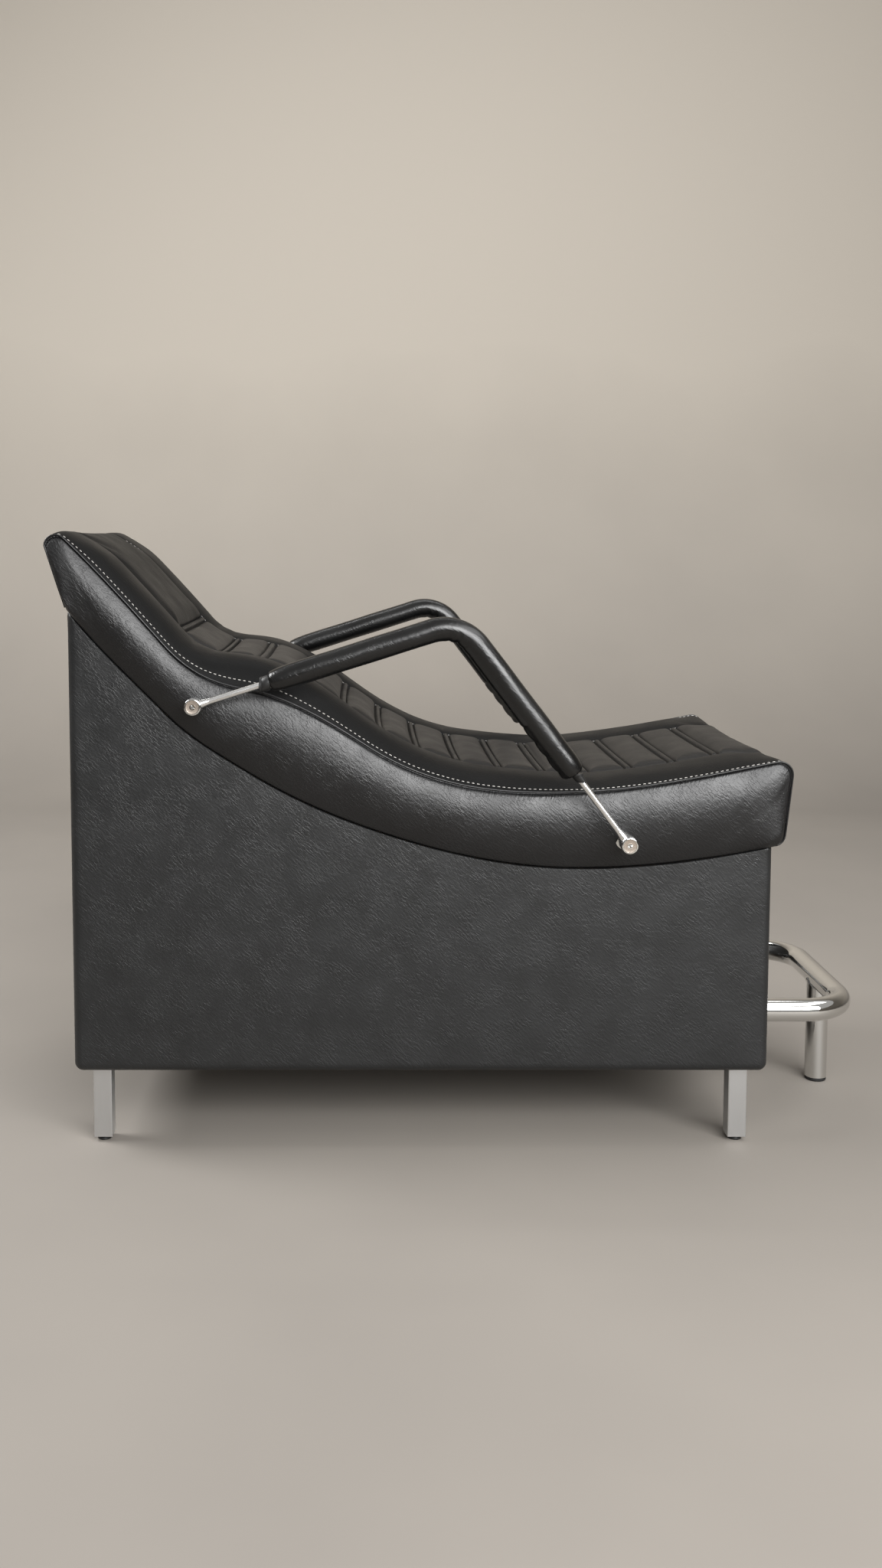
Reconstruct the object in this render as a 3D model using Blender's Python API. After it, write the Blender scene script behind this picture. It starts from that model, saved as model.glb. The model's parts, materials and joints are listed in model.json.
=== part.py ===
"""Shampoo lounge chair.

An upholstered box base on four square legs carries an S-curved, channelled cushion on a plywood
seat frame. Two padded loop arms bolt to the frame's ribs through stand-offs, and a bent tube
footrest comes out of the foot end on a leg of its own.

Metres, +Z up. In chair coordinates x runs from the head end of the base towards the foot, y runs
across the chair with the sitter's right side at -y, and z is the height over the floor. The datum
empty then puts the middle of the whole chair over the world's origin.
"""

import math

import bmesh
import bpy
from mathutils import Matrix, Vector

# Gaps
CLEARANCE = 0.0003          # between pieces that rest on each other
RUNNING_CLEARANCE = 0.0004  # radial, round bolts, studs, spigots and tubes

# Base box
BASE_LENGTH = 1.1035
BASE_WIDTH = 0.592
COVER_THICKNESS = 0.008
COVER_EDGE_RADIUS = 0.0075
COVER_EDGE_STEPS = 2
COVER_CORNER_RADIUS = 0.012
COVER_CORNER_LEAST = 0.002
PANEL_THICKNESS = 0.018
END_RECESS = 0.003
BOARD_THICKNESS = 0.024
BOARD_WIDTH = 0.100
DUST_COVER_THICKNESS = 0.001

# Side profile: where its stations lie, the box side's height there, the cushion's depth over it and
# the slopes of both edges, from the head end to the foot end
BACK_X = 0.150
NECK_X = 0.275
LUMBAR_X = 0.465
SEAT_FROM_FOOT = 0.3135
SIDE_HEIGHT_HEAD = 0.7325
SIDE_HEIGHT_BACK = 0.571
SIDE_HEIGHT_NECK = 0.480
SIDE_HEIGHT_LUMBAR = 0.3895
SIDE_HEIGHT_SEAT = 0.325
SIDE_HEIGHT_FOOT = 0.360
DEPTH_HEAD = 0.107
DEPTH_BACK = 0.1065
DEPTH_NECK = 0.129
DEPTH_LUMBAR = 0.130
DEPTH_SEAT = 0.1215
DEPTH_FOOT = 0.133
SIDE_SLOPES = (-1.30, -1.03, -0.63, -0.35, -0.01, 0.22)
SEAM_SLOPES = (-0.98, -1.14, -0.17, -0.65, 0.03, 0.20)
PROFILE_STATIONS = 23

# Cushion
CUSHION_OVERHANG = 0.004    # past the box on each side
SIDE_BULGE = 0.005
SIDE_ROUND = 0.012
SIDE_DRAW_IN = 0.005
NOSE_START = 0.003          # how far past the base's head end the seam runs before it rounds over
NOSE_RADIUS = 0.0165
TOE_START = 0.003           # the same at the foot end
TOE_RADIUS = 0.020
END_ARC_STEPS = 4
CROWN_END = 0.004
CROWN_HEAD = 0.024
CROWN_NECK = 0.038
CROWN_LUMBAR = 0.025
CROWN_SEAT = 0.018
CROWN_FOOT = 0.011
EDGE_ROLL = 0.018           # from the side seam to the start of the bolster's top
EDGE_ROLL_LIFT = 0.62       # shares of the crown, from there to the middle of the panel
SEAM_LIFT = 0.94
PANEL_EDGE_LIFT = 0.92
PANEL_LIFT = 0.85
BOLSTER_CREST = 0.4         # share of the bolster's width, from the panel seam to its crest
SEAM_CHANNEL_SHARE = 0.3    # how much of a channel's depth reaches the panel seam
PANEL_WIDTH = 0.325
PANEL_SEAM_WIDTH = 0.024
PANEL_SEAM_DEPTH = 0.006
CHANNEL_PITCH = 0.0705
CHANNEL_WIDTH = 0.020
CHANNEL_DEPTH = 0.006
LAST_CHANNEL_FROM_TOE = 0.071
HEAD_SECTION_LENGTH = 0.250  # least plain stretch before the first channel
HEAD_STATIONS = 4
HEAD_FIRST_STATION = 0.35   # share of a station's step before the first one

# Seat frame
RIB_THICKNESS = 0.018
RIB_OVER_TNUT = 0.0055      # rib left over the T-nuts' flanges
DECK_RISE = 0.026
DECK_THICKNESS = 0.008
DECK_SIDE_GAP = 0.0045      # room beside the rib for the T-nuts and bolt ends
RAIL_WIDTH = 0.045
RAIL_COUNT = 3

# Arms
ARM_REAR_X = 0.170          # where the bolts' normals leave the base's top edge
ARM_FRONT_FROM_FOOT = 0.2325
ARM_CORNER_X = 0.6075
ARM_CORNER_OVER_SEAT = 0.2695
ARM_BEND_RADIUS = 0.066
ARM_ROD_RADIUS = 0.005
ARM_FLARE_RADIUS = 0.0068
ARM_FLARE_LENGTH = 0.016
ARM_EYE_RADIUS = 0.013
ARM_EYE_WIDTH = 0.022
ARM_PAD_RADIUS = 0.0185
ARM_PAD_END_RADIUS = 0.0145
ARM_PAD_TAPER = 0.030
ARM_PAD_FROM_REAR_EYE = 0.106
ARM_PAD_FROM_FRONT_EYE = 0.121
FERRULE_RADIUS = 0.0128
FERRULE_LENGTH = 0.017
STANDOFF_LENGTH = 0.020
STANDOFF_RADIUS = 0.010
STANDOFF_FLANGE_RADIUS = 0.015
STANDOFF_FLANGE_THICKNESS = 0.003
BOLT_RADIUS = 0.004
BOLT_HEAD_RADIUS = 0.0128
BOLT_HEAD_HEIGHT = 0.004
BOLT_HEAD_CHAMFER = 0.001
BOLT_SOCKET_RADIUS = 0.0027
BOLT_SOCKET_DEPTH = 0.002
BOLT_END_COVER = 0.0015     # bolt end past the T-nut's flange
TNUT_BARREL_RADIUS = 0.0058
TNUT_BARREL_LENGTH = 0.011
TNUT_FLANGE_RADIUS = 0.0105
TNUT_FLANGE_THICKNESS = 0.0015
TNUT_OVER_DECK = 0.0015

# Legs and glides
LEG_SIZE = 0.030
LEG_WALL = 0.002
LEG_LENGTH = 0.122
LEG_INSET_X = 0.0405
LEG_EDGE_RADIUS = 0.0015
LEG_EDGE_STEPS = 2
LEG_STUD_RADIUS = 0.005
LEG_STUD_LENGTH = 0.020
PLUG_LENGTH = 0.022
GLIDE_FOOT_RADIUS = 0.011
GLIDE_FOOT_HEIGHT = 0.007
GLIDE_FOOT_EDGE = 0.0015
GLIDE_STUD_RADIUS = 0.004
GLIDE_STUD_LENGTH = 0.036
GLIDE_STUD_SEAT = 0.003     # foot material left under the stud

# Footrest
TUBE_RADIUS = 0.019
TUBE_WALL = 0.002
FOOTREST_SPACING = 0.360
FOOTREST_REACH = 0.1915     # from the base's foot end to the bar's outer face
FOOTREST_BEND_RADIUS = 0.080
SOCKET_LENGTH = 0.060
SOCKET_WALL = 0.004
SOCKET_FLANGE_RADIUS = 0.032
SOCKET_OVER_BOARD = 0.0014  # from the leg board's top to the socket's flange
SOCKET_FLANGE_THICKNESS = 0.004
FOOTREST_LEG_COPE = 0.006   # flat of the leg's coped tips, below the bar's middle
TIP_HEIGHT = 0.006
TIP_RADIUS = 0.0185
TIP_EDGE = 0.0015
TIP_SPIGOT_LENGTH = 0.016

# Facets
ROD_SIDES = 12
PAD_SIDES = 16
TUBE_SIDES = 20
TURNED_SIDES = 16
BEND_STEPS = 7
CORNER_STEPS = 3
SHARP_ANGLE = 35            # degrees
SEAM_WALK_STEPS = 1200

# Heights and planes that follow from the sizes above
BOARD_BOTTOM = GLIDE_FOOT_HEIGHT + LEG_LENGTH + 2 * CLEARANCE
BASE_BOTTOM = BOARD_BOTTOM - DUST_COVER_THICKNESS - 2 * CLEARANCE
SEAT_X = BASE_LENGTH - SEAT_FROM_FOOT
PANEL_OUTER_Y = BASE_WIDTH / 2 - COVER_THICKNESS
PANEL_INNER_Y = PANEL_OUTER_Y - PANEL_THICKNESS
INSIDE_Y = PANEL_INNER_Y - CLEARANCE
HEAD_PANEL_X = END_RECESS + COVER_THICKNESS + CLEARANCE
FOOT_PANEL_X = BASE_LENGTH - HEAD_PANEL_X
CUSHION_WIDTH = BASE_WIDTH + 2 * CUSHION_OVERHANG
RIB_OUTER_Y = PANEL_OUTER_Y
RIB_INNER_Y = RIB_OUTER_Y - RIB_THICKNESS
DECK_TOP = DECK_RISE + DECK_THICKNESS
ARM_BOLT_RISE = DECK_TOP + TNUT_OVER_DECK + TNUT_FLANGE_RADIUS
RIB_DEPTH = ARM_BOLT_RISE + TNUT_FLANGE_RADIUS + RIB_OVER_TNUT
STANDOFF_Y = CUSHION_WIDTH / 2 + SIDE_BULGE + CLEARANCE
ARM_EYE_Y = STANDOFF_Y + STANDOFF_LENGTH + CLEARANCE
ARM_Y = ARM_EYE_Y + ARM_EYE_WIDTH / 2
BOLT_HEAD_Y = ARM_EYE_Y + ARM_EYE_WIDTH + CLEARANCE
LEG_Y = PANEL_INNER_Y - LEG_SIZE / 2 - CLEARANCE
BAR_X = BASE_LENGTH + FOOTREST_REACH - TUBE_RADIUS
FOOTREST_HEIGHT = BOARD_BOTTOM + BOARD_THICKNESS + SOCKET_OVER_BOARD + SOCKET_FLANGE_RADIUS
SIDES = {"right": -1, "left": 1}


def base_knots():
    """Stations of the box side's top edge: x, height and slope."""
    places = [0.0, BACK_X, NECK_X, LUMBAR_X, SEAT_X, BASE_LENGTH]
    heights = [
        SIDE_HEIGHT_HEAD, SIDE_HEIGHT_BACK, SIDE_HEIGHT_NECK,
        SIDE_HEIGHT_LUMBAR, SIDE_HEIGHT_SEAT, SIDE_HEIGHT_FOOT,
    ]
    return [(x, BASE_BOTTOM + z, slope) for x, z, slope in zip(places, heights, SIDE_SLOPES)]


def seam_knots():
    """Stations of the cushion's top seam over the same places."""
    depths = [DEPTH_HEAD, DEPTH_BACK, DEPTH_NECK, DEPTH_LUMBAR, DEPTH_SEAT, DEPTH_FOOT]
    knots = zip(base_knots(), depths, SEAM_SLOPES)
    return [(x, height + depth, slope) for (x, height, _), depth, slope in knots]


def hermite(knots, x):
    """Height of a cubic Hermite curve at x, carried on straight past its ends."""
    if x <= knots[0][0]:
        return knots[0][1] + knots[0][2] * (x - knots[0][0])
    for (x0, z0, m0), (x1, z1, m1) in zip(knots, knots[1:]):
        if x <= x1:
            span = x1 - x0
            t = (x - x0) / span
            start = (1 + 2 * t) * (1 - t) ** 2 * z0 + t * (1 - t) ** 2 * span * m0
            return start + t * t * (3 - 2 * t) * z1 + t * t * (t - 1) * span * m1
    return knots[-1][1] + knots[-1][2] * (x - knots[-1][0])


def curve_frame(knots, x):
    """Point, tangent and upward normal of a profile curve, as vectors in the x-z plane."""
    step = 1e-4
    rise = (hermite(knots, x + step) - hermite(knots, x - step)) / (2 * step)
    tangent = Vector((1, 0, rise)).normalized()
    normal = Vector((-tangent.z, 0, tangent.x))
    return Vector((x, 0, hermite(knots, x))), tangent, normal


def base_frames():
    """Frames of the base's top edge at the stations that every piece on it shares."""
    knots = base_knots()
    last = PROFILE_STATIONS - 1
    return [curve_frame(knots, BASE_LENGTH * i / last) for i in range(PROFILE_STATIONS)]


def base_top(x):
    """Height of the faceted top edge of the base at x."""
    span = BASE_LENGTH / (PROFILE_STATIONS - 1)
    i = min(max(int(x / span), 0), PROFILE_STATIONS - 2)
    frames = base_frames()
    low, high = frames[i][0], frames[i + 1][0]
    return low.z + (high.z - low.z) * (x - low.x) / (high.x - low.x)


def offset_line(frames, rise):
    """Points of the frames, moved out along their normals."""
    return [point + normal * rise for point, _, normal in frames]


# Scene and object helpers

def clear_scene():
    for obj in list(bpy.data.objects):
        bpy.data.objects.remove(obj, do_unlink=True)


def make_material(name, colour, roughness, metallic=0.0):
    material = bpy.data.materials.new(name)
    material.use_nodes = True
    shader = material.node_tree.nodes["Principled BSDF"]
    shader.inputs["Base Color"].default_value = (*colour, 1.0)
    shader.inputs["Roughness"].default_value = roughness
    shader.inputs["Metallic"].default_value = metallic
    material.diffuse_color = (*colour, 1.0)
    return material


def make_materials():
    return {
        "black_vinyl": make_material("black_vinyl", (0.012, 0.012, 0.013), 0.42),
        "charcoal_vinyl": make_material("charcoal_vinyl", (0.022, 0.023, 0.025), 0.5),
        "chrome": make_material("chrome", (0.78, 0.78, 0.78), 0.06, 1.0),
        "satin_aluminium": make_material("satin_aluminium", (0.55, 0.56, 0.57), 0.35, 1.0),
        "plywood": make_material("plywood", (0.52, 0.36, 0.2), 0.7),
        "black_plastic": make_material("black_plastic", (0.014, 0.014, 0.014), 0.5),
        "black_rubber": make_material("black_rubber", (0.011, 0.011, 0.011), 0.75),
        "zinc_steel": make_material("zinc_steel", (0.5, 0.5, 0.5), 0.4, 1.0),
        "dust_cloth": make_material("dust_cloth", (0.015, 0.015, 0.015), 0.95),
    }


def add_object(name, bm, datum, material=None, origin=(0, 0, 0)):
    """Turn a bmesh, built round its own origin, into an object under the datum."""
    bmesh.ops.recalc_face_normals(bm, faces=bm.faces)
    mesh = bpy.data.meshes.new(name)
    bm.to_mesh(mesh)
    bm.free()
    mesh.shade_smooth()
    mesh.set_sharp_from_angle(angle=math.radians(SHARP_ANGLE))
    obj = bpy.data.objects.new(name, mesh)
    bpy.context.scene.collection.objects.link(obj)
    obj.parent = datum
    obj.location = origin
    if material:
        mesh.materials.append(material)
    return obj


def add_cutter(name, bm, datum):
    cutter = add_object(name, bm, datum)
    cutter.hide_render = True
    cutter.display_type = "WIRE"
    return cutter


def combine(obj, other, operation="DIFFERENCE"):
    boolean = obj.modifiers.new(other.name, "BOOLEAN")
    boolean.operation = operation
    boolean.solver = "EXACT"
    boolean.object = other


# Shape helpers

def skin_rings(bm, rings, closed=False):
    """Quads between neighbouring rings of vertices; closed also joins the last to the first."""
    pairs = list(zip(rings, rings[1:]))
    if closed:
        pairs.append((rings[-1], rings[0]))
    for low, high in pairs:
        for i in range(len(low)):
            j = (i + 1) % len(low)
            bm.faces.new((low[i], low[j], high[j], high[i]))


def prism(outline, y0, y1):
    """A closed outline in the x-z plane, extruded from y0 to y1."""
    bm = bmesh.new()
    rings = [[bm.verts.new((p.x, y, p.z)) for p in outline] for y in (y0, y1)]
    bm.faces.new(rings[0])
    bm.faces.new(rings[1])
    skin_rings(bm, rings)
    return bm


def box(low, high):
    corners = [(low[0], low[2]), (high[0], low[2]), (high[0], high[2]), (low[0], high[2])]
    return prism([Vector((x, 0, z)) for x, z in corners], low[1], high[1])


def rounded(outline, radii):
    """The outline with an arc of the given radius at each corner that has one."""
    points = []
    count = len(outline)
    for i, corner in enumerate(outline):
        radius = radii.get(i, 0)
        if not radius:
            points.append(corner)
            continue
        before = (outline[i - 1] - corner).normalized()
        after = (outline[(i + 1) % count] - corner).normalized()
        half = before.angle(after) / 2
        centre = corner + (before + after).normalized() * radius / math.sin(half)
        start = corner + before * radius / math.tan(half) - centre
        end = corner + after * radius / math.tan(half) - centre
        for k in range(CORNER_STEPS + 1):
            points.append(centre + start.slerp(end, k / CORNER_STEPS) * radius)
    return points


def sweep(stations, radii, sides, across, bore=None):
    """A round bar along stations of (point, tangent) in a plane square to the vector across."""
    bm = bmesh.new()

    def ring(point, tangent, radius):
        side = tangent.cross(across)
        angles = [2 * math.pi * i / sides for i in range(sides)]
        return [
            bm.verts.new(point + (across * math.cos(a) + side * math.sin(a)) * radius)
            for a in angles
        ]

    outer = [ring(point, tangent, r) for (point, tangent), r in zip(stations, radii)]
    if bore:
        inner = [ring(point, tangent, bore) for point, tangent in reversed(stations)]
        skin_rings(bm, outer + inner, closed=True)
    else:
        skin_rings(bm, outer)
        bm.faces.new(outer[0])
        bm.faces.new(outer[-1])
    return bm


def turned(profile, axis="Z", sides=TURNED_SIDES):
    """A turned piece from (radius, height) points along its axis.

    A profile that starts and ends on the axis makes a solid one; any other is a closed loop and
    makes a bored one.
    """
    bm = bmesh.new()
    solid = profile[0][0] == 0

    def ring(radius, height):
        angles = [2 * math.pi * i / sides for i in range(sides)]
        return [bm.verts.new((radius * math.cos(a), radius * math.sin(a), height)) for a in angles]

    if solid:
        rings = [ring(radius, height) for radius, height in profile[1:-1]]
        skin_rings(bm, rings)
        for (_, height), end in ((profile[0], rings[0]), (profile[-1], rings[-1])):
            tip = bm.verts.new((0, 0, height))
            for i in range(sides):
                bm.faces.new((tip, end[i], end[(i + 1) % sides]))
    else:
        skin_rings(bm, [ring(radius, height) for radius, height in profile], closed=True)
    if axis == "Y":
        bm.transform(Matrix.Rotation(-math.pi / 2, 4, "X"))
    if axis == "X":
        bm.transform(Matrix.Rotation(math.pi / 2, 4, "Y"))
    return bm


def sleeve_profile(low, high, bore, radius):
    """Profile of a plain bored cylinder."""
    return [(bore, low), (radius, low), (radius, high), (bore, high)]


def add_cylinder(bm, centre, axis, radius, length, sides=TURNED_SIDES):
    """Add a plain cylinder, as a cutter's body, to a bmesh."""
    turn = {"X": Matrix.Rotation(math.pi / 2, 4, "Y"), "Y": Matrix.Rotation(math.pi / 2, 4, "X")}
    place = Matrix.Translation(centre) @ turn.get(axis, Matrix())
    bmesh.ops.create_cone(
        bm, cap_ends=True, segments=sides, radius1=radius, radius2=radius, depth=length, matrix=place
    )


# Base box

def side_outline(inset=0.0):
    """Outline of a box side, drawn in all round by the inset."""
    low, high = inset, BASE_LENGTH - inset
    bottom = BASE_BOTTOM + inset
    between = [point.x for point, _, _ in base_frames()[1:-1]]
    knots = base_knots()
    points = [Vector((low, 0, bottom)), Vector((high, 0, bottom))]
    for x in reversed([low, *between, high]):
        tangent = curve_frame(knots, x)[1]
        points.append(Vector((x, 0, base_top(x) - inset / tangent.x)))
    return points


def cover_outline(inset=0.0):
    """The inset outline with its corners rounded, more tightly the further in it lies."""
    outline = side_outline(inset)
    radius = max(COVER_CORNER_RADIUS - inset, COVER_CORNER_LEAST)
    return rounded(outline, dict.fromkeys((0, 1, 2, len(outline) - 1), radius))


def side_cover_mesh(side):
    """A shallow tray: a pocket for the panel, a flat face and a rolled edge between them."""
    bm = bmesh.new()
    inner, outer, face = side * PANEL_INNER_Y, side * PANEL_OUTER_Y, side * BASE_WIDTH / 2
    loops = [(COVER_THICKNESS, outer), (COVER_THICKNESS, inner), (0.0, inner)]
    for k in range(COVER_EDGE_STEPS + 1):
        angle = math.pi / 2 * k / COVER_EDGE_STEPS
        inset = COVER_EDGE_RADIUS * (1 - math.cos(angle))
        loops.append((inset, face - side * COVER_EDGE_RADIUS * (1 - math.sin(angle))))
    rings = [[bm.verts.new((p.x, y, p.z)) for p in cover_outline(inset)] for inset, y in loops]
    skin_rings(bm, rings)
    bm.faces.new(rings[0])
    bm.faces.new(rings[-1])
    return bm


def build_sides(materials, datum):
    core = cover_outline(COVER_THICKNESS + CLEARANCE)
    for name, side in SIDES.items():
        panel = prism(core, side * PANEL_INNER_Y, side * (PANEL_OUTER_Y - CLEARANCE))
        add_object(f"side_panel_{name}", panel, datum, materials["plywood"])
        add_object(f"side_cover_{name}", side_cover_mesh(side), datum, materials["charcoal_vinyl"])


def end_outline(x0, x1, bottom):
    """Upright strip of the profile plane between x0 and x1, under the cushion's rim."""
    return [
        Vector((x0, 0, bottom)),
        Vector((x1, 0, bottom)),
        Vector((x1, 0, base_top(x1))),
        Vector((x0, 0, base_top(x0))),
    ]


def footrest_hole_cutter(datum):
    bm = bmesh.new()
    depth = PANEL_THICKNESS + COVER_THICKNESS + END_RECESS
    for side in SIDES.values():
        centre = Vector((FOOT_PANEL_X, side * FOOTREST_SPACING / 2, FOOTREST_HEIGHT))
        add_cylinder(bm, centre, "X", TUBE_RADIUS + RUNNING_CLEARANCE, 3 * depth, TUBE_SIDES)
    return add_cutter("cut_footrest_holes", bm, datum)


def build_ends(materials, datum):
    board_top = BOARD_BOTTOM + BOARD_THICKNESS
    foot_inner = FOOT_PANEL_X - PANEL_THICKNESS
    head_inner = HEAD_PANEL_X + PANEL_THICKNESS
    head_face = END_RECESS
    foot_face = BASE_LENGTH - END_RECESS
    strips = {
        "head_panel": (HEAD_PANEL_X, head_inner, board_top + CLEARANCE, "plywood"),
        "foot_panel": (foot_inner, FOOT_PANEL_X, board_top + CLEARANCE, "plywood"),
        "head_cover": (head_face, head_face + COVER_THICKNESS, BASE_BOTTOM, "charcoal_vinyl"),
        "foot_cover": (foot_face - COVER_THICKNESS, foot_face, BASE_BOTTOM, "charcoal_vinyl"),
    }
    holes = footrest_hole_cutter(datum)
    for name, (x0, x1, bottom, material) in strips.items():
        mesh = prism(end_outline(x0, x1, bottom), -INSIDE_Y, INSIDE_Y)
        strip = add_object(name, mesh, datum, materials[material])
        if name.startswith("foot"):
            combine(strip, holes)


def leg_places():
    """Name, x and y of each leg."""
    ends = {"head": LEG_INSET_X, "foot": BASE_LENGTH - LEG_INSET_X}
    return [
        (f"{end}_{name}", x, side * LEG_Y) for end, x in ends.items() for name, side in SIDES.items()
    ]


def build_bottom(materials, datum):
    stud_holes = bmesh.new()
    notches = bmesh.new()
    half = LEG_SIZE / 2 + CLEARANCE
    for _, x, y in leg_places():
        add_cylinder(stud_holes, Vector((x, y, BOARD_BOTTOM)), "Z",
                     LEG_STUD_RADIUS + RUNNING_CLEARANCE, 3 * BOARD_THICKNESS)
        notch = Matrix.Translation((x, y, BASE_BOTTOM)) @ Matrix.Diagonal((half, half, half, 1))
        bmesh.ops.create_cube(notches, size=2, matrix=notch)
    stud_cutter = add_cutter("cut_leg_studs", stud_holes, datum)
    spans = {"head": (HEAD_PANEL_X, HEAD_PANEL_X + BOARD_WIDTH),
             "foot": (FOOT_PANEL_X - BOARD_WIDTH, FOOT_PANEL_X)}
    for end, (x0, x1) in spans.items():
        low = (x0, -INSIDE_Y, BOARD_BOTTOM)
        high = (x1, INSIDE_Y, BOARD_BOTTOM + BOARD_THICKNESS)
        combine(add_object(f"leg_board_{end}", box(low, high), datum, materials["plywood"]),
                stud_cutter)
    sheet_bottom = BASE_BOTTOM + CLEARANCE
    low = (HEAD_PANEL_X, -INSIDE_Y, sheet_bottom)
    high = (FOOT_PANEL_X, INSIDE_Y, sheet_bottom + DUST_COVER_THICKNESS)
    sheet = add_object("dust_cover", box(low, high), datum, materials["dust_cloth"])
    combine(sheet, add_cutter("cut_leg_notches", notches, datum))


# Seat frame

def frame_stations():
    """The shared profile stations that the seat frame covers, short of the cushion's end walls."""
    return base_frames()[1:-1]


def band_outline(low, high):
    """Outline between two offsets of the base's top edge, along the seat frame."""
    frames = frame_stations()
    return offset_line(frames, low) + offset_line(frames, high)[::-1]


def arm_bolt_points():
    """Rear and front arm bolt positions in the profile plane."""
    knots = base_knots()
    points = {}
    for end, x in {"rear": ARM_REAR_X, "front": BASE_LENGTH - ARM_FRONT_FROM_FOOT}.items():
        point, _, normal = curve_frame(knots, x)
        points[end] = point + normal * ARM_BOLT_RISE
    return points


def arm_hole_cutter(name, radius, low, high, datum):
    """Cutter with a round hole at every arm bolt, from y low to y high on both sides."""
    bm = bmesh.new()
    for point in arm_bolt_points().values():
        for side in SIDES.values():
            centre = point + Vector((0, side * (low + high) / 2, 0))
            add_cylinder(bm, centre, "Y", radius, high - low)
    return add_cutter(name, bm, datum)


def rail_line(around, rise):
    """One face of a cross rail: it bends at its station as the frame's own line does."""
    before, middle, after = offset_line(around, rise)
    half = RAIL_WIDTH / 2
    return [
        middle + (before - middle).normalized() * half,
        middle,
        middle + (after - middle).normalized() * half,
    ]


def build_seat_frame(materials, datum):
    tnut_holes = arm_hole_cutter("cut_tnut_holes", TNUT_BARREL_RADIUS + RUNNING_CLEARANCE,
                                 RIB_INNER_Y - RIB_THICKNESS, RIB_OUTER_Y + RIB_THICKNESS, datum)
    rib = band_outline(CLEARANCE, RIB_DEPTH)
    deck = band_outline(DECK_RISE, DECK_TOP)
    inside = RIB_INNER_Y - CLEARANCE
    for name, side in SIDES.items():
        mesh = prism(rib, side * RIB_INNER_Y, side * RIB_OUTER_Y)
        combine(add_object(f"seat_rib_{name}", mesh, datum, materials["plywood"]), tnut_holes)
    add_object("seat_deck", prism(deck, -inside, inside), datum, materials["plywood"])
    frames = frame_stations()
    for i in range(RAIL_COUNT):
        place = 1 + round((len(frames) - 3) * i / (RAIL_COUNT - 1))
        around = frames[place - 1:place + 2]
        outline = rail_line(around, CLEARANCE) + rail_line(around, DECK_RISE - CLEARANCE)[::-1]
        name = f"seat_rail_{i + 1}"
        add_object(name, prism(outline, -inside, inside), datum, materials["plywood"])


# Cushion

def crown_at(x):
    """Crown of the side bolsters over the seam, smoothed between its stations."""
    stations = [
        (BACK_X, CROWN_HEAD), (NECK_X, CROWN_NECK), (LUMBAR_X, CROWN_LUMBAR),
        (SEAT_X, CROWN_SEAT), (BASE_LENGTH, CROWN_FOOT),
    ]
    if x <= stations[0][0]:
        return stations[0][1]
    for (x0, c0), (x1, c1) in zip(stations, stations[1:]):
        if x <= x1:
            t = (x - x0) / (x1 - x0)
            return c0 + (c1 - c0) * t * t * (3 - 2 * t)
    return stations[-1][1]


def arc_stations(centre, radius, start, end):
    """Points and outward normals on an arc between two directions, without its ends."""
    stations = []
    for k in range(1, END_ARC_STEPS):
        normal = start.slerp(end, k / END_ARC_STEPS)
        stations.append((centre + normal * radius, normal))
    return stations


def face_normal(corner, centre, radius, turn):
    """Outward normal of the end face that runs from a corner up to touch an end rounding."""
    reach = centre - corner
    lean = math.asin(radius / reach.length) * turn
    along = Matrix.Rotation(lean, 3, "Y") @ reach.normalized()
    return Vector((-along.z * turn, 0, along.x * turn))


def channel_places(length):
    """Distances of the cross channels along the seam, from its head end."""
    last = length - LAST_CHANNEL_FROM_TOE
    steps = int((last - HEAD_SECTION_LENGTH) / CHANNEL_PITCH)
    return [last - CHANNEL_PITCH * i for i in range(steps, -1, -1)]


def seam_stations():
    """Stations along the seam curve: distance, point and normal, on a fine even walk."""
    knots = seam_knots()
    start = -NOSE_START
    span = BASE_LENGTH + TOE_START - start
    stations = []
    distance = 0.0
    before = None
    for i in range(SEAM_WALK_STEPS + 1):
        point, _, normal = curve_frame(knots, start + span * i / SEAM_WALK_STEPS)
        distance += (point - before).length if before else 0.0
        stations.append((distance, point, normal))
        before = point
    return stations


def pick_station(stations, distance):
    return min(stations, key=lambda station: abs(station[0] - distance))


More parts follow.
